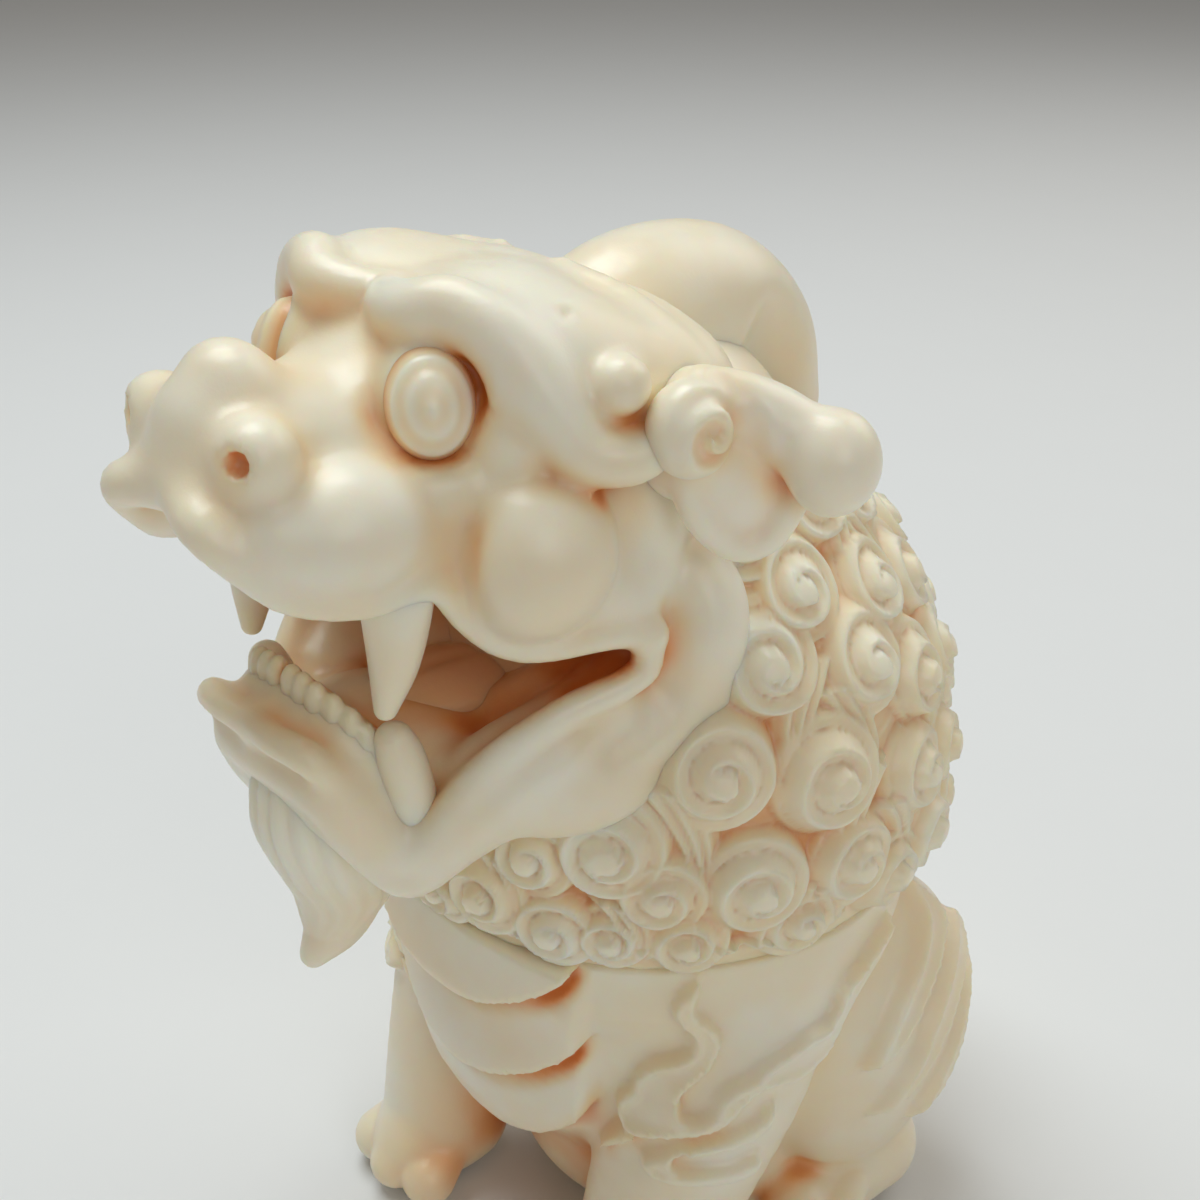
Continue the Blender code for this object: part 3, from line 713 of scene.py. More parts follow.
def skull(clay):
    """Cranium, brow cap, bridge, cheeks and the two bulging upper lips."""
    clay.add(Egg((0, -5, 34), (16.5, 16, 16)), 0)
    clay.add(Egg((0, -19.2, 48.6), (14.2, 12.2, 8.4), (0, -6, 0)), 3)
    clay.add(Egg((7.4, -22.6, 50.6), (8.0, 7.2, 6.8)), 3)
    clay.add(Egg((11.6, -18.0, 49.2), (5.6, 6.6, 5.4)), 3)
    clay.add(Egg((10.6, -11.8, 47.4), (7.2, 6.0, 5.6)), 3)
    clay.add(Egg((0, -31.0, 46.6), (8.0, 12.5, 5.4), (0, 6, 0)), 3.5)
    clay.add(Egg((0, -39.6, 47.4), (6.0, 5.8, 4.6)), 3)
    clay.add(Egg((0, -43.0, 46.4), (6.4, 3.4, 2.6)), 2)
    lip_body = ((7.0, -40.0, 42.5), (8.2, -36.5, 41.0), (9.0, -31.5, 40.4), (11.2, -26.5, 35.6),
                (13.6, -21.4, 35.2), (14.8, -17.5, 34.5))
    clay.add(Rope(lip_body, (2.6, 2.6, 2.6, 3.0, 3.4, 3.6)), 2)
    clay.add(Egg((7.0, -42.0, 43.2), (2.6, 2.8, 3.4)), 2)
    clay.add(Egg((10.4, -31.2, 38.4), (2.4, 2.6, 2.8)), 2)
    clay.add(Egg((11.6, -16.0, 38.4), (5.4, 5.8, 8.2)), 2.5)
    clay.add(Egg((15.4, -12.4, 30.0), (5.4, 5.0, 7.0)), 1.0)
    clay.add(Egg((10.4, -28.4, 44.0), (3.6, 4.4, 3.4)), 3)
    clay.add(Egg((7.2, -37.0, 42.6), (5.4, 6.5, 5.1), (-18, 0, 0)), 1.2)
    clay.add(Egg((10.9, -24.6, 39.4), (8.9, 6.8, 7.5), (-22, 0, 0)), 0.9)


def creases(clay):
    """Valleys between the swellings of the face."""
    lobe_crease = ((12.9, -32.0, 37.5), (12.8, -31.2, 40.0), (12.5, -30.7, 42.4), (11.6, -30.7, 45.4))
    muscle_edge = ((18.4, -15.8, 32.4), (18.6, -16.7, 30.1), (18.4, -17.9, 26.0), (17.4, -21.7, 23.8))
    lobe_top = ((13.2, -28.6, 47.0), (15.4, -24.0, 46.4), (17.4, -19.4, 44.2), (18.4, -17.2, 40.4),
                (18.2, -16.8, 36.0))
    clay.groove(Rope(lobe_crease, 0.2), 1.0, 1.6)
    clay.groove(Rope(lobe_top, 0.2), 0.9, 1.9)
    clay.groove(Rope(muscle_edge, 0.2), 1.0, 1.9)


def lower_jaw(clay):
    """The jaw's arch with its flaring lip, its floor and the throat behind it."""
    course = ((0, -37.2, 21.4), (5.0, -36.2, 19.0), (7.6, -32.8, 15.4), (11.2, -27.5, 19.8),
              (14.0, -20.0, 22.4), (14.2, -12.0, 24.0))
    clay.add(Rope(course, (3.8, 3.7, 3.3, 4.2, 4.7, 5.5)), 2.0)
    flare = ((0, -39.8, 22.6), (5.8, -39.0, 21.4), (7.2, -37.0, 17.4), (8.8, -34.2, 13.8),
             (11.8, -30.8, 19.0), (14.6, -25.6, 23.0), (16.4, -20.0, 25.4))
    clay.add(Rope(flare, (2.2, 2.2, 2.1, 2.1, 2.2, 2.2, 2.0)), 1.2)
    clay.add(Egg((12.8, -22.4, 19.0), (5.0, 7.8, 4.6), (-28, 0, 0)), 1.0)
    clay.add(Egg((0, -25, 16.5), (9.5, 12.5, 4.0)), 3)
    clay.add(Egg((0, -12, 18), (16.5, 14, 10)), 3)


def open_mouth(clay):
    """Cuts the gape and the way through to the hollow, then fills in the gums."""
    clay.cut(Prism(MOUTH_OUTLINE, 40), 0.8)
    clay.cut(Egg((0, -24, 29.6), (8.8, 13.5, 7.2)), 1.0)
    clay.add(Egg((0, -30.0, 19.4), (8.8, 7.6, 5.0)), 1.5)
    clay.add(Egg((0, -36.2, 22.0), (6.6, 3.2, 3.2)), 1.2)
    clay.add(Egg((8.0, -33.4, 16.8), (2.4, 2.6, 3.4)), 1.2)
    ridge = ((0, -37.6, 26.4), (3.6, -37.4, 26.0), (6.0, -36.2, 24.4), (7.6, -34.8, 21.6))
    clay.add(Rope(ridge, (2.0, 2.0, 1.8, 1.6)), 1.6)
    slope = ((0, -39.4, 24.6), (4.6, -38.8, 23.6), (6.6, -37.4, 21.0), (7.9, -35.4, 17.8))
    clay.add(Rope(slope, (2.4, 2.3, 2.0, 1.6)), 1.6)


def lips(clay):
    """Rolled rims along both lips."""
    upper = ((0, -44.6, 45.6), (5.2, -46.0, 44.6), (7.4, -43.8, 41.0), (8.6, -41.8, 39.1),
             (10.0, -37.6, 37.9), (11.4, -32.8, 38.2), (12.2, -30.6, 35.0), (13.2, -28.4, 32.8),
             (14.6, -25.7, 32.0), (16.4, -21.4, 32.2), (17.6, -18.0, 31.9))
    lower = ((17.6, -18.0, 31.2), (17.4, -19.0, 28.4), (15.4, -25.0, 26.6), (12.8, -30.2, 22.8),
             (9.8, -34.4, 16.4), (8.2, -36.8, 18.0), (7.2, -39.0, 22.2), (6.4, -40.8, 25.4),
             (3.4, -41.6, 26.0), (0, -41.2, 25.8))
    clay.add(Rope(upper, (1.7, 1.7, 1.2, 1.0, 0.95, 0.9, 0.9, 0.95, 1.0, 1.1, 1.2)), 1.2)
    clay.add(Rope(lower, (1.2, 1.2, 1.2, 1.3, 1.4, 1.4, 1.3, 1.3, 1.2, 1.2)), 1.2)
    under_rim = [(x + 0.6, y, z - 2.0) for x, y, z in lower[1:]]
    clay.groove(Rope(under_rim, 0.1), 0.28, 0.9)


def brows(clay):
    """Eye recess with its lids, heavy brow with its side lobe and knob, and the two crests behind it."""
    clay.cut(Egg((8.9, -30.9, 50.4), (4.0, 4.0, 4.5)), 1.2)
    valley = ((9.9, -27.4, 53.6), (11.4, -26.6, 51.6), (12.4, -26.2, 49.6))
    clay.add(Egg((6.8, -29.0, 49.6), (3.6, 3.6, 4.3)), 1.0)
    clay.cut(Rope(valley, (0.5, 0.7, 0.2)), 1.8)
    clay.add(Egg((12.6, -26.4, 46.6), 2.1), 1.8)
    ridge = ((0, -27.0, 55.0), (3.0, -28.6, 55.2), (5.5, -28.8, 55.5), (8.0, -27.6, 56.0),
             (11.2, -26.2, 54.6), (13.5, -25.1, 51.7), (15.0, -24.0, 48.8), (16.2, -22.8, 46.8),
             (17.9, -20.3, 46.3), (18.6, -18.2, 47.0))
    clay.add(Rope(ridge, (1.6, 2.0, 2.2, 2.2, 2.3, 2.4, 2.4, 2.3, 2.0, 1.6)), 1.3)
    clay.add(Rope(((5.6, -32.6, 47.4), (7.4, -33.0, 45.9), (9.6, -31.9, 45.1), (11.6, -29.6, 45.4)),
                  (0.6, 0.9, 1.0, 0.7)), 1.4)
    clay.add(Egg((16.9, -20.4, 51.2), 2.1), 0.8)
    clay.cut(Egg((12.9, -21.8, 55.4), 0.45), 0.4)
    for back, low in ((-13.5, 0.0), (-10.8, 1.4)):
        crest = ((3.5, back, 55.6 - low), (9.5, back + 0.1, 54.4 - low), (13.6, back + 0.7, 51.8 - low),
                 (16.6, back + 1.5, 48.8 - low))
        clay.add(Rope(crest, (0.2, 0.8, 0.9, 0.7)), 1.6)


def nose(clay):
    """Nose knob, swollen nostril wings and their holes."""
    clay.add(Egg((0, -40.4, 51.6), (3.6, 3.2, 3.2)), 2.2)
    clay.add(Egg((0, -43.2, 49.6), (3.2, 2.0, 2.4)), 2.0)
    clay.add(Egg((6.0, -42.2, 48.8), (2.9, 2.7, 2.7)), 1.8)
    clay.cut(Rope(((8.2, -46.0, 49.6), (6.6, -43.9, 48.9)), (1.15, 0.9)), 0.5)


def hollow_inside(clay):
    """The hollow of the head and the recess for the locating ring."""
    clay.cut(Lathe((-3, 4.3, 4.31), (22.5, 22.5, 21.0)), 0)
    clay.cut(Lathe((4.0, 14.0, 19.8, 26.4, 31.7, 33.0), (21.0, 21.0, 19.5, 15.7, 9.4, 2.0)), 0)


class BURNER_OT_head(bpy.types.Operator):
    """Carve the head: skull, jaws, lips, brows and nose over the hollow inside"""
    bl_idname = "burner.head"
    bl_label = "Head"

    def execute(self, context):
        cell = context.scene.burner_sizes.head_cell / MM
        clay = Clay((0, -50, -1.5), (28, 29, 62), cell)
        skull(clay)
        lower_jaw(clay)
        creases(clay)
        open_mouth(clay)
        lips(clay)
        brows(clay)
        nose(clay)
        clay.add(Lathe(MANE_HEIGHTS, np.array(MANE_RADII) - 3.0), 1.0)
        hollow_inside(clay)
        clay.keep_above(0.0)
        settle(clay.bake("head"), "head", "ivory_resin", ivory(), "head_shell")
        return {"FINISHED"}


# The mane

FRONT_CURLS = (
    (14.6, 5.8, 4.6, 1), (27.7, 4.0, 4.2, -1), (37.9, 13.0, 5.2, 1), (46.7, 8.8, 4.4, -1),
    (63.9, 8.8, 5.0, 1), (56.7, 19.3, 5.2, -1), (78.7, 17.1, 5.4, 1), (69.0, 26.8, 4.8, 1),
    (84.0, 8.2, 4.8, -1), (80.6, 31.0, 4.4, -1), (68.4, 35.1, 4.0, 1), (92.5, 24.6, 4.8, -1),
    (77.0, 38.0, 3.6, -1), (52.0, 3.8, 3.9, 1), (73.0, 3.8, 3.9, -1), (3.0, 3.6, 3.7, -1),
    (97.0, 4.2, 4.3, 1), (24.0, 11.0, 4.2, -1), (38.6, 4.0, 3.6, 1),
)
BACK_CURL_ROWS = ((4.0, 112.0, 17.0, 5), (12.0, 104.0, 18.0, 5), (20.0, 110.0, 18.5, 5),
                  (28.0, 106.0, 20.0, 5), (35.5, 98.0, 23.0, 4))
BACK_CURL_RADIUS = 4.9
MANE_BORDER_ANGLES = (0, 20, 38, 50, 60, 70, 80)
MANE_BORDER_HEIGHTS = (9, 11, 18.5, 22, 27, 38, 50)


def curl_list():
    """Every curl of the mane: angle from the face in degrees, height, radius and the way it winds."""
    curls = list(FRONT_CURLS)
    for row, (height, first, step, count) in enumerate(BACK_CURL_ROWS):
        for k in range(count):
            angle = first + step * k
            if angle < 181:
                curls.append((angle, height + 0.8 * (-1) ** k, BACK_CURL_RADIUS * (1 - 0.035 * row),
                              (-1) ** (k + row)))
    return curls


CURL_BEAD = 0.22
CURL_COIL = 0.40
CURL_DOME = 0.62
CURL_GROOVE = 1.4
STRAND_RISE = 0.22
STRANDS = 2


def curl_relief(along, up, radius, way):
    """Height of one snail curl over the mane, by the place in its own plane."""
    rho = np.hypot(along, up)
    theta = np.arctan2(up, along) * way
    turns = (rho - CURL_BEAD * radius) / (CURL_COIL * radius) - theta / (2 * np.pi)
    phase = turns - np.floor(turns)
    band = np.sin(np.pi * phase) ** 0.6
    strands = STRAND_RISE * np.cos(2 * np.pi * STRANDS * phase)
    edge = np.clip(1 - (rho / radius) ** 2, 0, 1)
    dome = CURL_DOME * radius * edge ** 0.55
    carved = dome - (CURL_GROOVE * (1 - band) - strands) * edge ** 0.25
    bead = CURL_DOME * radius + 0.3 * np.sqrt(np.maximum(1 - (rho / (CURL_BEAD * radius)) ** 2, 0))
    return np.where(rho < CURL_BEAD * radius, bead, carved)


def lock_relief(along, up, radius, way):
    """Height of the comma-shaped lock that a curl trails behind it."""
    bend = along * way - 0.035 * (up + radius) ** 2
    start = -0.2 * radius
    t = np.clip((start - up) / (1.9 * radius), 0, 1)
    across = bend - 0.62 * radius * (1 - t)
    half = 0.6 * radius * (1 - t) ** 0.7 + 0.05
    inside = np.clip(1 - (across / half) ** 2, 0, 1) ** 0.6 * (up < start)
    strands = 0.3 * np.cos(2 * np.pi * 2.0 * across / half)
    return inside * (1.7 * (1 - 0.6 * t) + strands)


class BURNER_OT_mane(bpy.types.Operator):
    """Wind the mane's curls around the neck"""
    bl_idname = "burner.mane"
    bl_label = "Mane"

    def execute(self, context):
        cell = context.scene.burner_sizes.mane_cell / MM
        heights = np.arange(0.0, 42.01, cell)
        around = int(2 * np.pi * 26 / cell)
        angles = np.linspace(-np.pi, np.pi, around, endpoint=False)
        base = np.interp(heights, MANE_HEIGHTS, MANE_RADII)
        relief = np.zeros((len(heights), around))
        for degrees, height, radius, way in curl_list():
            for side in (1, -1):
                if side < 0 and degrees > 179:
                    continue
                self.wind(relief, heights, angles, base, side * math.radians(degrees), height, radius,
                          way * side)
        ripple = 0.25 * np.sin(heights[:, None] * 2.1 + 3 * np.sin(angles[None, :] * 9))
        relief = np.maximum(relief, ripple - 0.15)
        border = np.interp(np.abs(np.degrees(angles)), MANE_BORDER_ANGLES, MANE_BORDER_HEIGHTS)
        past = np.clip((heights[:, None] - border[None, :]) / 4.0, 0, 1)
        radius = base[:, None] + relief - 0.4 - 7.0 * past ** 2
        settle(self.shell(heights, angles, radius, relief), "head", "ivory_resin", ivory(), "head_shell")
        return {"FINISHED"}

    def wind(self, relief, heights, angles, base, angle, height, radius, way):
        """Lays one curl and its lock into the relief."""
        ring = np.interp(height, MANE_HEIGHTS, MANE_RADII)
        rows = np.abs(heights - height) < 3.2 * radius
        turn = (angles - angle + np.pi) % (2 * np.pi) - np.pi
        columns = np.abs(turn) * ring < 2.2 * radius
        part = np.ix_(rows, columns)
        along = (turn[columns] * ring)[None, :]
        up = (heights[rows] - height)[:, None]
        lock = lock_relief(along, up, radius, way)
        curl = curl_relief(along, up, radius, way)
        lock = lock * ease(heights[rows], 0.4, 3.0)[:, None]
        relief[part] = np.maximum(relief[part], np.maximum(lock, curl))

    def shell(self, heights, angles, radius, relief):
        """A closed sleeve: the carved outside and a plain inside."""
        rows, columns = radius.shape
        inner = np.interp(heights, MANE_HEIGHTS, MANE_RADII) - 2.2
        sines, cosines = np.sin(angles), -np.cos(angles)
        outer_points = np.stack((radius * sines, radius * cosines, heights[:, None] + 0 * radius), -1)
        inner_rows = np.linspace(rows - 1, 0, 12).astype(int)
        inner_radius = inner[inner_rows]
        inner_points = np.stack((inner_radius[:, None] * sines, inner_radius[:, None] * cosines,
                                 heights[inner_rows][:, None] + 0 * sines[None, :]), -1)
        points = np.concatenate((outer_points, inner_points)).reshape(-1, 3)
        total = rows + len(inner_rows)
        thing = mesh_piece("mane", points, wrapped_quads(total, columns, True)[:, (0, 3, 2, 1)])
        # Painted shade: darker in the hollows between the curls, and an even middle amount on the inside.
        blurred = relief.copy()
        for axis in (0, 1):
            for step in (2, 4, 6):
                blurred = (blurred + np.roll(blurred, step, axis) + np.roll(blurred, -step, axis)) / 3
        hollow = np.clip(0.16 + 0.32 * (blurred - relief), 0, 1)
        set_values(thing, "painted_shade", np.concatenate((hollow.ravel(), np.full(inner_points.size // 3, 0.5))))
        return thing


# Inserts of the head

class BURNER_OT_horn(bpy.types.Operator):
    """Arch the horn from the crown to the nape"""
    bl_idname = "burner.horn"
    bl_label = "Horn"

    def execute(self, context):
        cell = context.scene.burner_sizes.fine_cell / MM * 1.3
        clay = Clay((0, -22, 26), (12, 24, 60), cell)
        course = ((0, -9, 45.8), (0, -3, 48.2), (0, 4.6, 47.9), (0, 9.8, 44.2), (0, 11.6, 38.5))
        clay.add(Rope(course, (7.0, 7.3, 7.0, 6.6, 6.3), 7), 0)
        clay.cut(Egg((9.0, 7.2, 43.6), (4.8, 4.0, 6.4)), 2.0)
        settle(clay.bake("horn_carved"), "head", "pale_ivory_resin", pale_ivory(), "horn")
        return {"FINISHED"}


class BURNER_OT_ears(bpy.types.Operator):
    """Curl the ears, each with its lower flap"""
    bl_idname = "burner.ears"
    bl_label = "Ears"

    def execute(self, context):
        cell = context.scene.burner_sizes.fine_cell / MM
        for side, word in ((1, "left"), (-1, "right")):
            clay = Clay((12, -26, 34), (33, -2, 58), cell, mirrored=False)
            clay.add(Egg((17.0, -14.0, 46.0), (3.6, 4.0, 5.0)), 0)
            lobe = ((19.6, -15.2, 49.4), (21.2, -12.8, 48.8), (23.0, -10.4, 47.2), (26.0, -8.4, 44.8))
            clay.add(Rope(lobe, (2.6, 2.5, 2.6, 2.4)), 0.8)
            clay.add(Egg((26.0, -8.6, 45.0), (3.3, 3.5, 3.9)), 1.2)
            clay.groove(Rope(((21.6, -14.8, 52.0), (23.4, -14.6, 49.6), (22.8, -14.0, 46.0)), 0.2), 1.3, 0.8)
            clay.add(Egg((20.4, -17.2, 48.2), (3.1, 3.2, 3.5)), 0.3)
            flap = ((18.6, -16.2, 45.4), (19.4, -15.3, 41.4), (20.5, -12.7, 38.4), (22.0, -10.5, 38.8),
                    (23.4, -8.9, 42.4))
            clay.add(Rope(flap, (1.2, 1.35, 1.4, 1.35, 1.2)), 0.6)
            clay.add(Rope(((19.0, -14.6, 45.0), (19.8, -12.6, 42.0)), (2.2, 1.8)), 0.8)
            clay.add(Egg((20.9, -11.8, 43.4), (1.6, 3.6, 4.8), (-20, 0, 0)), 0.8)
            turns = np.linspace(0.3, 1.6 * 2 * np.pi, 18)
            spiral = [(23.0 - 0.10 * t, -17.4 + 0.34 * t * math.cos(t),
                       48.4 + 0.34 * t * math.sin(t)) for t in turns]
            clay.groove(Rope(spiral, 0.1), 0.8, 0.5)
            thing = clay.bake("ear_carved_" + word)
            if side < 0:
                thing.data.transform(Matrix.Diagonal((-1, 1, 1, 1)))
                thing.data.flip_normals()
            settle(thing, "head", "pale_ivory_resin", pale_ivory(), "ear_" + word)
        return {"FINISHED"}


EYE_CENTRE = (8.05, -29.8, 49.9)
EYE_GAZE = (0.80, -0.52, 0.20)
EYE_RADIUS = 3.15
EYE_TALLER = 1.25


class BURNER_OT_eyes(bpy.types.Operator):
    """Set the ringed eyeballs under the brows"""
    bl_idname = "burner.eyes"
    bl_label = "Eyes"

    def execute(self, context):
        centre = np.array(EYE_CENTRE)
        gaze = np.array(EYE_GAZE)
        gaze /= np.linalg.norm(gaze)
        across = np.cross(gaze, (0, 0, 1))
        across /= np.linalg.norm(across)
        upward = np.cross(across, gaze)
        tilt = np.radians(np.linspace(0, 180, 90))
        around = np.linspace(0, 2 * np.pi, 72, endpoint=False)
        grid_tilt, grid_around = np.meshgrid(tilt, around, indexing="ij")
        rings = 0.055 * np.cos(np.degrees(grid_tilt) / 14.0 * np.pi) * (np.degrees(grid_tilt) < 64)
        pupil = 0.35 * np.exp(-(np.degrees(grid_tilt) / 22.0) ** 2)
        radius = EYE_RADIUS + rings + pupil
        local = np.stack((np.sin(grid_tilt) * np.cos(grid_around),
                          np.sin(grid_tilt) * np.sin(grid_around) * EYE_TALLER,
                          np.cos(grid_tilt)), -1) * radius[..., None]
        points = centre + local @ np.stack((across, upward, gaze))
        rows, columns = radius.shape
        quads = wrapped_quads(rows, columns, False)
        # Painted shade in the grooves of the rings and on the back of the ball.
        hollow = np.clip(0.14 - 1.0 * rings, 0, 1) + 0.5 * np.clip((np.degrees(grid_tilt) - 55) / 25, 0, 1)
        for side, word in ((1, "left"), (-1, "right")):
            placed = points.reshape(-1, 3) * np.array((side, 1, 1))
            thing = mesh_piece("eye_carved_" + word, placed, quads if side > 0 else quads[:, ::-1])
            set_values(thing, "painted_shade", hollow.ravel())
            weld_and_face_out(thing)
            settle(thing, "head", "pale_ivory_resin", pale_ivory(), "eye_" + word)
        return {"FINISHED"}


LOWER_TOOTH = (0.95, 0.95, 1.8)


class BURNER_OT_teeth(bpy.types.Operator):
    """Set the fangs, the lower teeth and the tongue in the mouth"""
    bl_idname = "burner.teeth"
    bl_label = "Fangs, teeth and tongue"

    def execute(self, context):
        cell = context.scene.burner_sizes.fine_cell / MM * 0.75
        fangs = {
            "upper": (((8.6, -33.8, 40.0), (9.0, -34.2, 37.0), (9.1, -34.8, 32.5), (8.8, -35.6, 28.6)),
                      (2.5, 2.6, 1.9, 0.9)),
            "lower": (((8.2, -33.2, 16.5), (8.4, -33.8, 20.0), (8.5, -34.4, 23.6), (8.4, -34.8, 25.4)),
                      (2.1, 2.1, 1.9, 1.5)),
        }
        for jaw, (course, radii) in fangs.items():
            for side, word in ((1, "left"), (-1, "right")):
                rope = Rope(np.array(course) * (side, 1, 1), radii, 8)
                clay = Clay(rope.low - 1, rope.high + 1, cell, mirrored=False)
                clay.add(rope, 0)
                settle(clay.bake(f"{jaw}_fang_carved_{word}"), "head", "pale_ivory_resin", pale_ivory(),
                       f"{jaw}_fang_{word}")
        row = Clay((0, -46, 16), (16, -20, 36), cell * 1.3)
        arch = smooth_path(((0.9, -38.2, 28.2), (3.6, -38.0, 27.8), (6.0, -36.8, 26.2),
                            (7.6, -35.6, 23.8)), 2)
        for place in arch:
            row.add(Egg(place, LOWER_TOOTH), 0.1)
        # The lower teeth get a little painted shade all over.
        settle(row.bake("lower_teeth", 0.1), "head", "pale_ivory_resin", pale_ivory())
        tongue = Clay((0, -36, 17), (8, -14, 28), cell * 1.3)
        tongue.add(Egg((0, -24.5, 22.6), (5.0, 7.6, 2.2), (0, -4, 0)), 0)
        tongue.groove(Rope(((0, -31.5, 24.6), (0, -26, 24.9), (0, -19, 24.6)), 0.1), 0.4, 0.7)
        # The tongue gets strong painted shade all over, as it lies in the mouth.
        settle(tongue.bake("tongue_carved", 0.45), "head", "ivory_resin", ivory(), "tongue")
        return {"FINISHED"}


class BURNER_OT_beard(bpy.types.Operator):
    """Hang the grooved beard from the chin"""
    bl_idname = "burner.beard"
    bl_label = "Beard"

    def execute(self, context):
        cell = context.scene.burner_sizes.fine_cell / MM
        clay = Clay((0, -46, 0), (9, -28, 28), cell)
        clay.add(Rope(((0, -37.2, 21.0), (0, -36.4, 16.0), (0, -35.4, 11.5)), (3.4, 4.5, 4.0)), 0)
        lock = ((0, -35.2, 13.0), (0, -34.8, 8.5), (0, -35.8, 5.2), (0, -38.2, 2.8))
        clay.add(Rope(lock, (4.0, 3.5, 2.6, 1.2)), 0.8)
        for k in range(9):
            a = math.radians(-88 + 176 * k / 8)
            strand = []
            for y, z, out in ((-37.2, 22.0, 3.2), (-36.4, 16.5, 4.5), (-35.4, 12.0, 4.2), (-34.8, 8.6, 3.5),
                              (-35.8, 5.4, 2.4)):
                sway = a + 0.10 * math.sin(z)
                strand.append((out * math.cos(sway), y + out * math.sin(sway), z))
            clay.add(Rope(strand, (0.7, 0.95, 0.95, 0.85, 0.5)), 0.25)
        settle(clay.bake("beard_carved"), "head", "ivory_resin", ivory(), "beard")
        return {"FINISHED"}


# The body

def torso(clay):
    """Trunk, chest, haunches and rump."""
    clay.add(Egg((0, 4, -20), (20.5, 21, 24)), 0)
    clay.add(Egg((0, -7, -14), (17, 16.0, 17)), 4)
    clay.add(Egg((0, 6, -36), (17, 19, 13)), 3)
    clay.add(Egg((0, 14, -28), (18, 17, 16)), 3)
    clay.add(Lathe((-20, -6, 0), (19, 24.4, 24.8)), 2)
    clay.add(Egg((16.6, 14, -24.6), (8.5, 13.6, 16.4), (8, 0, 0)), 1.6)


def legs(clay, ground):
    """Smooth forelegs and the four paws with their toes."""
    foreleg = ((15, -3, -6), (16, -7, -16), (15.5, -12, -28), (15, -16, ground + 6))
    clay.add(Rope(foreleg, (9.5, 9.0, 7.5, 6.2)), 2.0)
    for paw_x, back, front in ((14.8, -14.0, -19.5), (17.8, 15.0, 5.5)):
        clay.add(Rope(((paw_x, back, ground + 5), (paw_x, front, ground + 4.2)), (5.6, 4.6)), 1.5)
        for spread_out in (-4.1, 0.0, 4.1):
            toe_front = front - 2.6 + 1.0 * abs(spread_out) / 4.1
            toe = ((paw_x + spread_out * 0.8, front + 2.5, ground + 5.6),
                   (paw_x + spread_out, toe_front, ground + 3.2))
            clay.add(Rope(toe, (2.3, 2.9)), 0.4)


FLAME_RADIUS = 25.0
FLAME_RISE = 1.2
SCUTE_RISE = 2.2
SCUTE_EDGES = (-7.5, -17.0, -26.0)
RECESS_DEPTH = 0.9
RECESS_PAINTED_SHADE = 0.22
BELLY_PAINTED_SHADE = 0.3
SEAM_GAP = 0.3
PAD_HEIGHT = 1.3


def chest_scutes(clay):
    """Overlapping plates down the chest, each ending over a recess with painted warm shade, and painted warm
    shade on the belly below them.
    """
    x, y, z = clay.places()
    degrees = np.degrees(np.arctan2(x, -y))
    # A grid of extra painted shade for the bake.
    clay.painted_shade_extra = np.zeros_like(clay.depth)
    for lowest in SCUTE_EDGES:
        edge = lowest + np.interp(degrees, (0, 7, 13.5, 21, 27, 32, 40), (0, 0.3, 1.3, 3.0, 5.0, 7.4, 12))
        over = z - edge
        across = ease(degrees, 35, 29) * ease(-y, 4, 10)
        plate = np.clip(1 - over / 8.5, 0, 1) * ease(over, -0.35, 0.35) * across
        recess = ease(over, -3.4, -0.8) * ease(over, 0.2, -0.4) * across
        clay.depth -= (SCUTE_RISE * plate - RECESS_DEPTH * recess).astype(np.float32)
        # Painted warm shade in each recess under a plate.
        clay.painted_shade_extra += (RECESS_PAINTED_SHADE * recess).astype(np.float32)
    # Painted warm shade low on the front of the belly.
    belly_painted_shade = ease(-z, 20, 34) * ease(degrees, 42, 22) * ease(-y, 4, 10)
    clay.painted_shade_extra += (BELLY_PAINTED_SHADE * belly_painted_shade).astype(np.float32)


def flame(clay, outline, rise):
    """A raised flame with crisp edges, from an outline of angles about the neck in degrees and heights."""
    arc = FLAME_RADIUS * np.pi / 180
    shape = Prism(smooth_path(list(outline) + [outline[0]], 3)[:-1] * (arc, 1), 1e6)
    x, y, heights = clay.axes
    around = np.degrees(np.arctan2(x[:, None], -y[None, :])) * arc
    i, j = np.nonzero((around > shape.low[1] - 1) & (around < shape.high[1] + 1))
    k = np.nonzero((heights > shape.low[2] - 1) & (heights < shape.high[2] + 1))[0]
    edge = shape.distance(0, around[i, j][:, None], heights[k][None, :])
    raised = rise * (0.8 * ease(edge, 0.3, -0.3) + 0.35 * np.exp(-((edge + 0.3) / 0.45) ** 2))
    clay.depth[i[:, None], j[:, None], k[None, :]] -= raised.astype(np.float32)


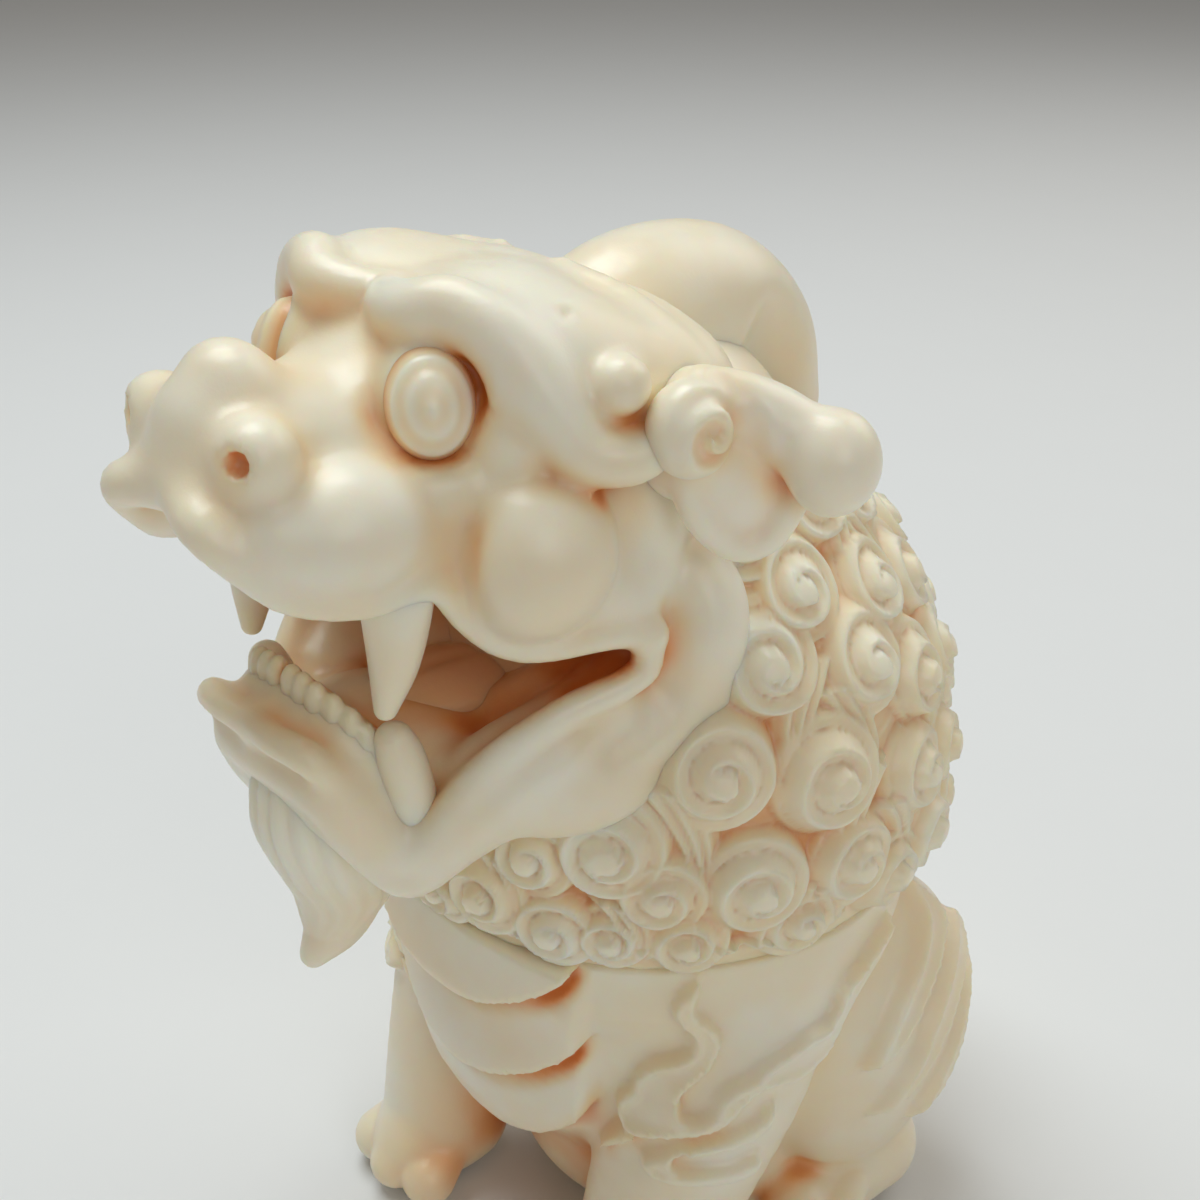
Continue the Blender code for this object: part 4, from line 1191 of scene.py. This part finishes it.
def flames(clay):
    """Flame relief on shoulder and thigh."""
    ribbon = ((55, -1.0), (51.5, -2.4), (50, -4.0), (51.5, -5.6), (54, -7.2), (54, -9.0), (51, -10.2),
              (46, -11.4), (43, -13.0), (42, -14.5), (39.5, -15.8), (38.5, -17.1), (40, -18.4), (43, -18.6),
              (48, -17.8), (54, -16.9), (59.5, -15.8), (63.5, -13.8), (67.5, -12.6), (74.5, -12.9),
              (80.5, -12.6), (87, -11.6), (93, -9.4), (99, -6.4), (105, -3.4), (99, -4.4), (93, -5.6),
              (88, -6.2), (86.5, -8.6), (82.5, -9.6), (77.5, -9.2), (72.5, -9.8), (67.5, -10.6),
              (65.5, -11.4), (61.5, -12.2), (59, -13.3), (57.5, -14.8), (54.5, -15.7), (52, -15.6),
              (51.5, -14.7), (52, -13.4), (55, -11.8), (57.5, -10.4), (59, -8.8), (59.5, -7.6), (57, -5.8),
              (54.5, -4.7), (54, -3.6), (54.5, -2.3))
    hook = ((44, -20.8), (45.5, -20.1), (50.5, -18.9), (55.5, -17.9), (61, -17.0), (65.5, -16.2),
            (69.5, -14.8), (68.5, -16.7), (65.5, -17.6), (60, -18.2), (55, -18.7), (51.5, -19.1),
            (50, -19.9), (51.5, -20.7), (57.5, -20.7), (62.5, -20.7), (67, -20.2), (66, -21.7),
            (61.5, -22.0), (55, -21.9), (49, -21.9), (45.5, -21.5))
    tongue = ((34, -22.9), (36.5, -20.6), (40.5, -18.9), (43, -19.0), (40.5, -20.0), (37.5, -21.3))
    for outline in (ribbon, hook, tongue):
        flame(clay, outline, FLAME_RISE)
    flame(clay, ((133, -7.0), (126, -10.2), (119, -12.4), (110, -15.8), (102, -21.0), (109, -19.5),
                 (117, -16.3), (125, -13.8), (133, -11.5)), FLAME_RISE)
    flame(clay, ((138, -13.0), (128, -15.4), (118, -19.0), (112, -23.0), (104, -27.0), (113, -25.4),
                 (121, -22.0), (130, -18.4), (140, -16.5)), FLAME_RISE)
    flame(clay, ((147, -18.0), (136, -21.6), (126, -26.2), (116, -31.0), (127, -29.5), (138, -25.2),
                 (149, -21.5)), FLAME_RISE)


class BURNER_OT_body(bpy.types.Operator):
    """Carve the seated body with its legs, chest scutes and flames over the well"""
    bl_idname = "burner.body"
    bl_label = "Body"

    def execute(self, context):
        sizes = context.scene.burner_sizes
        ground = -sizes.seam_height / MM
        clay = Clay((0, -32, ground - 1), (32, 40, 2), sizes.body_cell / MM)
        torso(clay)
        legs(clay, ground)
        chest_scutes(clay)
        flames(clay)
        clay.keep_below(-SEAM_GAP)
        clay.keep_above(ground + PAD_HEIGHT)
        clay.cut(Lathe((-5.0, 1.0), (22.5, 22.5)), 0)
        well = half_width("burner_cup") - CUP_FLANGE + 0.3
        clay.cut(Lathe((-24.0, -4.0), (well, well)), 0)
        settle(clay.bake("body_carved"), "body", "ivory_resin", ivory(), "body_shell")
        return {"FINISHED"}


class BURNER_OT_tail(bpy.types.Operator):
    """Lay the flame-shaped tail up the back"""
    bl_idname = "burner.tail"
    bl_label = "Tail"

    def execute(self, context):
        cell = context.scene.burner_sizes.fine_cell / MM
        clay = Clay((0, 18, -42), (10, 40, 0), cell)
        course = ((0, 26, -34), (0, 30.5, -29), (0, 31.6, -21), (0, 29.6, -12), (0, 28.8, -5))
        clay.add(Rope(course, (4.2, 4.4, 4.2, 3.2, 0.8)), 0)
        for lift, out in ((-32, 4.0), (-26, 4.6), (-20, 4.2)):
            lock = ((out * 0.5, 30.0, lift), (out, 33.0, lift + 5), (out * 0.9, 33.0, lift + 10),
                    (out * 0.2, 31.5, lift + 15))
            clay.add(Rope(lock, (1.4, 1.6, 1.2, 0.4)), 1.0)
        clay.add(Rope(((0, 31.5, -15.0), (0, 31.0, -9.0), (0, 30.0, -4.5)), (3.0, 2.2, 0.8)), 0.8)
        settle(clay.bake("tail_carved"), "body", "ivory_resin", ivory(), "tail")
        return {"FINISHED"}


# Inside pieces and pads

CUP_FLANGE = 1.6


def half_width(node):
    """Half of a round node's width, in millimetres."""
    low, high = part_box(node)
    return (high.x - low.x) / 2 / MM


class BURNER_OT_inside(bpy.types.Operator):
    """Turn the ring, the brass cup, the mat and the incense holder"""
    bl_idname = "burner.inside"
    bl_label = "Inside pieces"

    def execute(self, context):
        colours = context.scene.burner_colours
        brass = shared("spun_brass", brass_material)
        ring = half_width("locating_ring")
        outline = ((ring, 3.6), (ring, -3.0), (ring - 0.4, -3.5), (ring - 1.3, -3.5), (ring - 1.7, -3.0),
                   (ring - 1.7, 3.6), (ring - 1.3, 4.0), (ring - 0.4, 4.0))
        piece = turned_piece("locating_ring_turned", outline)
        # An even amount of painted shade all over the ring.
        set_values(piece, "painted_shade", np.full(len(piece.data.vertices), 0.25))
        settle(piece, "head", "ivory_resin", ivory(), "locating_ring")
        flange = half_width("burner_cup")
        wall = flange - CUP_FLANGE
        cup = ((flange, -3.95), (flange, -4.45), (flange - 0.25, -4.7), (wall, -4.7), (wall, -22.9),
               (wall - 0.7, -23.7), (wall - 3.6, -23.7), (wall - 4.0, -23.4), (0, -23.4), (0, -22.7),
               (wall - 1.4, -22.7), (wall - 1.0, -22.3), (wall - 1.0, -4.2), (wall - 0.5, -3.7),
               (flange - 0.3, -3.7))
        settle(turned_piece("burner_cup_turned", cup), "cup", "cup_brass", brass, "burner_cup")
        edge = half_width("fibre_pad")
        mat = [(edge - 0.3, -19.5), (edge, -19.9), (edge, -22.0), (edge - 0.3, -22.4), (0, -22.4), (0, -19.4)]
        mat += [(r, -19.4 + 0.12 * math.sin(1.7 * r)) for r in np.linspace(0.5, edge - 0.7, 24)]
        settle(turned_piece("fibre_pad_matted", mat), "cup", "mineral_fibre",
               shared("matted_mineral_fibre", matted_material, colours.fibre, (0.30, 0.26, 0.22), 0.55),
               "fibre_pad")
        holder = ((1.0, -12.9), (2.3, -12.9), (2.6, -13.2), (2.6, -17.0), (3.4, -17.9), (8.6, -17.9),
                  (9.0, -18.2), (9.0, -18.8), (8.7, -19.1), (0, -19.1), (0, -17.9), (1.0, -17.7))
        settle(turned_piece("incense_holder_turned", holder), "holder", "cup_brass", brass, "incense_holder")
        return {"FINISHED"}


class BURNER_OT_felt(bpy.types.Operator):
    """Glue the felt pads under the paws"""
    bl_idname = "burner.felt"
    bl_label = "Felt pads"

    def execute(self, context):
        colours = context.scene.burner_colours
        felt = shared("pressed_grey_felt", matted_material, colours.felt, (0.22, 0.20, 0.18), 0.3)
        for paw in ("fore", "hind"):
            for word in ("left", "right"):
                node = f"felt_pad_{paw}_{word}"
                settle(self.pad(node + "_pressed", *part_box(node)), "body", "grey_felt", felt, node)
        return {"FINISHED"}

    def pad(self, name, low, high):
        """An oval of felt with a soft, slightly ragged edge, as large as the node's box."""
        seam = Vector((0, bpy.context.scene.burner_sizes.neck_back,
                       bpy.context.scene.burner_sizes.seam_height))
        low, high = (low - seam) / MM, (high - seam) / MM
        centre, half = (low + high) / 2, (high - low) / 2
        around = np.linspace(0, 2 * np.pi, 96, endpoint=False)
        ragged = 0.985 - 0.015 * np.sin(7 * around + np.sin(13 * around))
        rows = []
        for share, height in ((0.02, 1), (0.90, 1), (0.97, 0.85), (1, 0.5), (1, -0.5), (0.97, -0.85),
                              (0.90, -1), (0.02, -1)):
            rows.append(np.stack((centre.x + half.x * share * ragged * np.cos(around),
                                  centre.y + half.y * share * ragged * np.sin(around),
                                  np.full(len(around), centre.z + half.z * height)), 1))
        thing = mesh_piece(name, np.concatenate(rows), wrapped_quads(len(rows), len(around), True))
        weld_and_face_out(thing)
        return thing


# Stage

class BURNER_OT_stage(bpy.types.Operator):
    """Set the floor, the soft light and the camera"""
    bl_idname = "burner.stage"
    bl_label = "Stage"

    def execute(self, context):
        self.floor()
        self.light()
        self.camera(context.scene)
        context.scene.view_settings.view_transform = "Standard"
        return {"FINISHED"}

    def floor(self):
        mesh = bpy.data.meshes.new("floor")
        bm = bmesh.new()
        bmesh.ops.create_grid(bm, x_segments=1, y_segments=1, size=3.0)
        bm.to_mesh(mesh)
        bm.free()
        floor = bpy.data.objects.new("floor", mesh)
        bpy.context.scene.collection.objects.link(floor)
        material, tree, shader = new_material("studio_floor")
        colour = bpy.context.scene.burner_colours.floor
        shade = spread(tree, noise(tree, 40.0, 3.0), 0.2, 0.8, 0.0, 0.05)
        tree.links.new(mix(tree, shade, colour, (0.7, 0.7, 0.7)), shader.inputs["Base Color"])
        shader.inputs["Roughness"].default_value = 0.8
        mesh.materials.append(material)

    def light(self):
        world = bpy.data.worlds.new("studio")
        bpy.context.scene.world = world
        world.use_nodes = True
        background = world.node_tree.nodes["Background"]
        background.inputs["Color"].default_value = (1.0, 0.95, 0.88, 1.0)
        background.inputs["Strength"].default_value = 0.21
        for name, place, size, watts, colour in (
                ("key", (-0.20, 0.0, 0.70), 0.45, 3.4, (0.90, 0.97, 1.0)),
                ("side", (0.62, -0.20, 0.40), 0.40, 0.9, (0.95, 0.97, 1.0)),
                ("back", (0.10, 0.60, 0.50), 0.50, 1.0, (1.0, 0.97, 0.92))):
            lamp = bpy.data.lights.new(name, "AREA")
            lamp.size = size
            lamp.energy = watts
            lamp.color = colour
            holder = bpy.data.objects.new(name, lamp)
            holder.location = place
            aim = Vector((0, 0, 0.06)) - Vector(place)
            holder.rotation_euler = aim.to_track_quat("-Z", "Y").to_euler()
            bpy.context.scene.collection.objects.link(holder)

    def camera(self, scene):
        """The photograph's view: the seam's centre falls right of and below the middle of the frame."""
        sizes = scene.burner_sizes
        frame_width = 1200.0
        focal_pixels = 1600.0
        seam_pixel = (650.0, 800.0)
        a, e = sizes.camera_azimuth, sizes.camera_elevation
        back = Vector((math.sin(a), -math.cos(a), 0))
        right = Vector((math.cos(a), math.sin(a), 0))
        forward = -(math.cos(e) * back + Vector((0, 0, math.sin(e))))
        up = -math.sin(e) * back + Vector((0, 0, math.cos(e)))
        ray = forward + right * (seam_pixel[0] - frame_width / 2) / focal_pixels
        ray = ray - up * (seam_pixel[1] - frame_width / 2) / focal_pixels
        camera = bpy.data.cameras.new("photo_view")
        camera.sensor_fit = "HORIZONTAL"
        camera.angle = 2 * math.atan(frame_width / 2 / focal_pixels)
        camera.clip_start = 0.01
        holder = bpy.data.objects.new("photo_view", camera)
        holder.location = Vector((0, sizes.neck_back, sizes.seam_height)) - sizes.camera_distance * ray
        holder.rotation_euler = Matrix((right, up, -forward)).transposed().to_euler()
        scene.collection.objects.link(holder)
        scene.camera = holder


class BURNER_PT_panel(bpy.types.Panel):
    """The burner's pieces, in the order they are made"""
    bl_idname = "BURNER_PT_panel"
    bl_label = "Pixiu Incense Burner"
    bl_space_type = "VIEW_3D"
    bl_region_type = "UI"
    bl_category = "Burner"

    def draw(self, context):
        for operator in PIECES:
            self.layout.operator(operator.bl_idname)
        for group in (context.scene.burner_sizes, context.scene.burner_colours):
            for name in group.__annotations__:
                self.layout.prop(group, name)


PIECES = (BURNER_OT_head, BURNER_OT_mane, BURNER_OT_horn, BURNER_OT_ears, BURNER_OT_eyes, BURNER_OT_teeth,
          BURNER_OT_beard, BURNER_OT_body, BURNER_OT_tail, BURNER_OT_inside, BURNER_OT_felt, BURNER_OT_stage)
CLASSES = (BurnerSizes, BurnerColours, *PIECES, BURNER_PT_panel)


def register():
    for cls in CLASSES:
        bpy.utils.register_class(cls)
    bpy.types.Scene.burner_sizes = bpy.props.PointerProperty(type=BurnerSizes)
    bpy.types.Scene.burner_colours = bpy.props.PointerProperty(type=BurnerColours)


def unregister():
    del bpy.types.Scene.burner_sizes
    del bpy.types.Scene.burner_colours
    for cls in reversed(CLASSES):
        bpy.utils.unregister_class(cls)


def main():
    register()
    bpy.ops.burner.head()
    bpy.ops.burner.mane()
    bpy.ops.burner.horn()
    bpy.ops.burner.ears()
    bpy.ops.burner.eyes()
    bpy.ops.burner.teeth()
    bpy.ops.burner.beard()
    bpy.ops.burner.body()
    bpy.ops.burner.tail()
    bpy.ops.burner.inside()
    bpy.ops.burner.felt()
    bpy.ops.burner.stage()


if __name__ == "__main__":
    main()
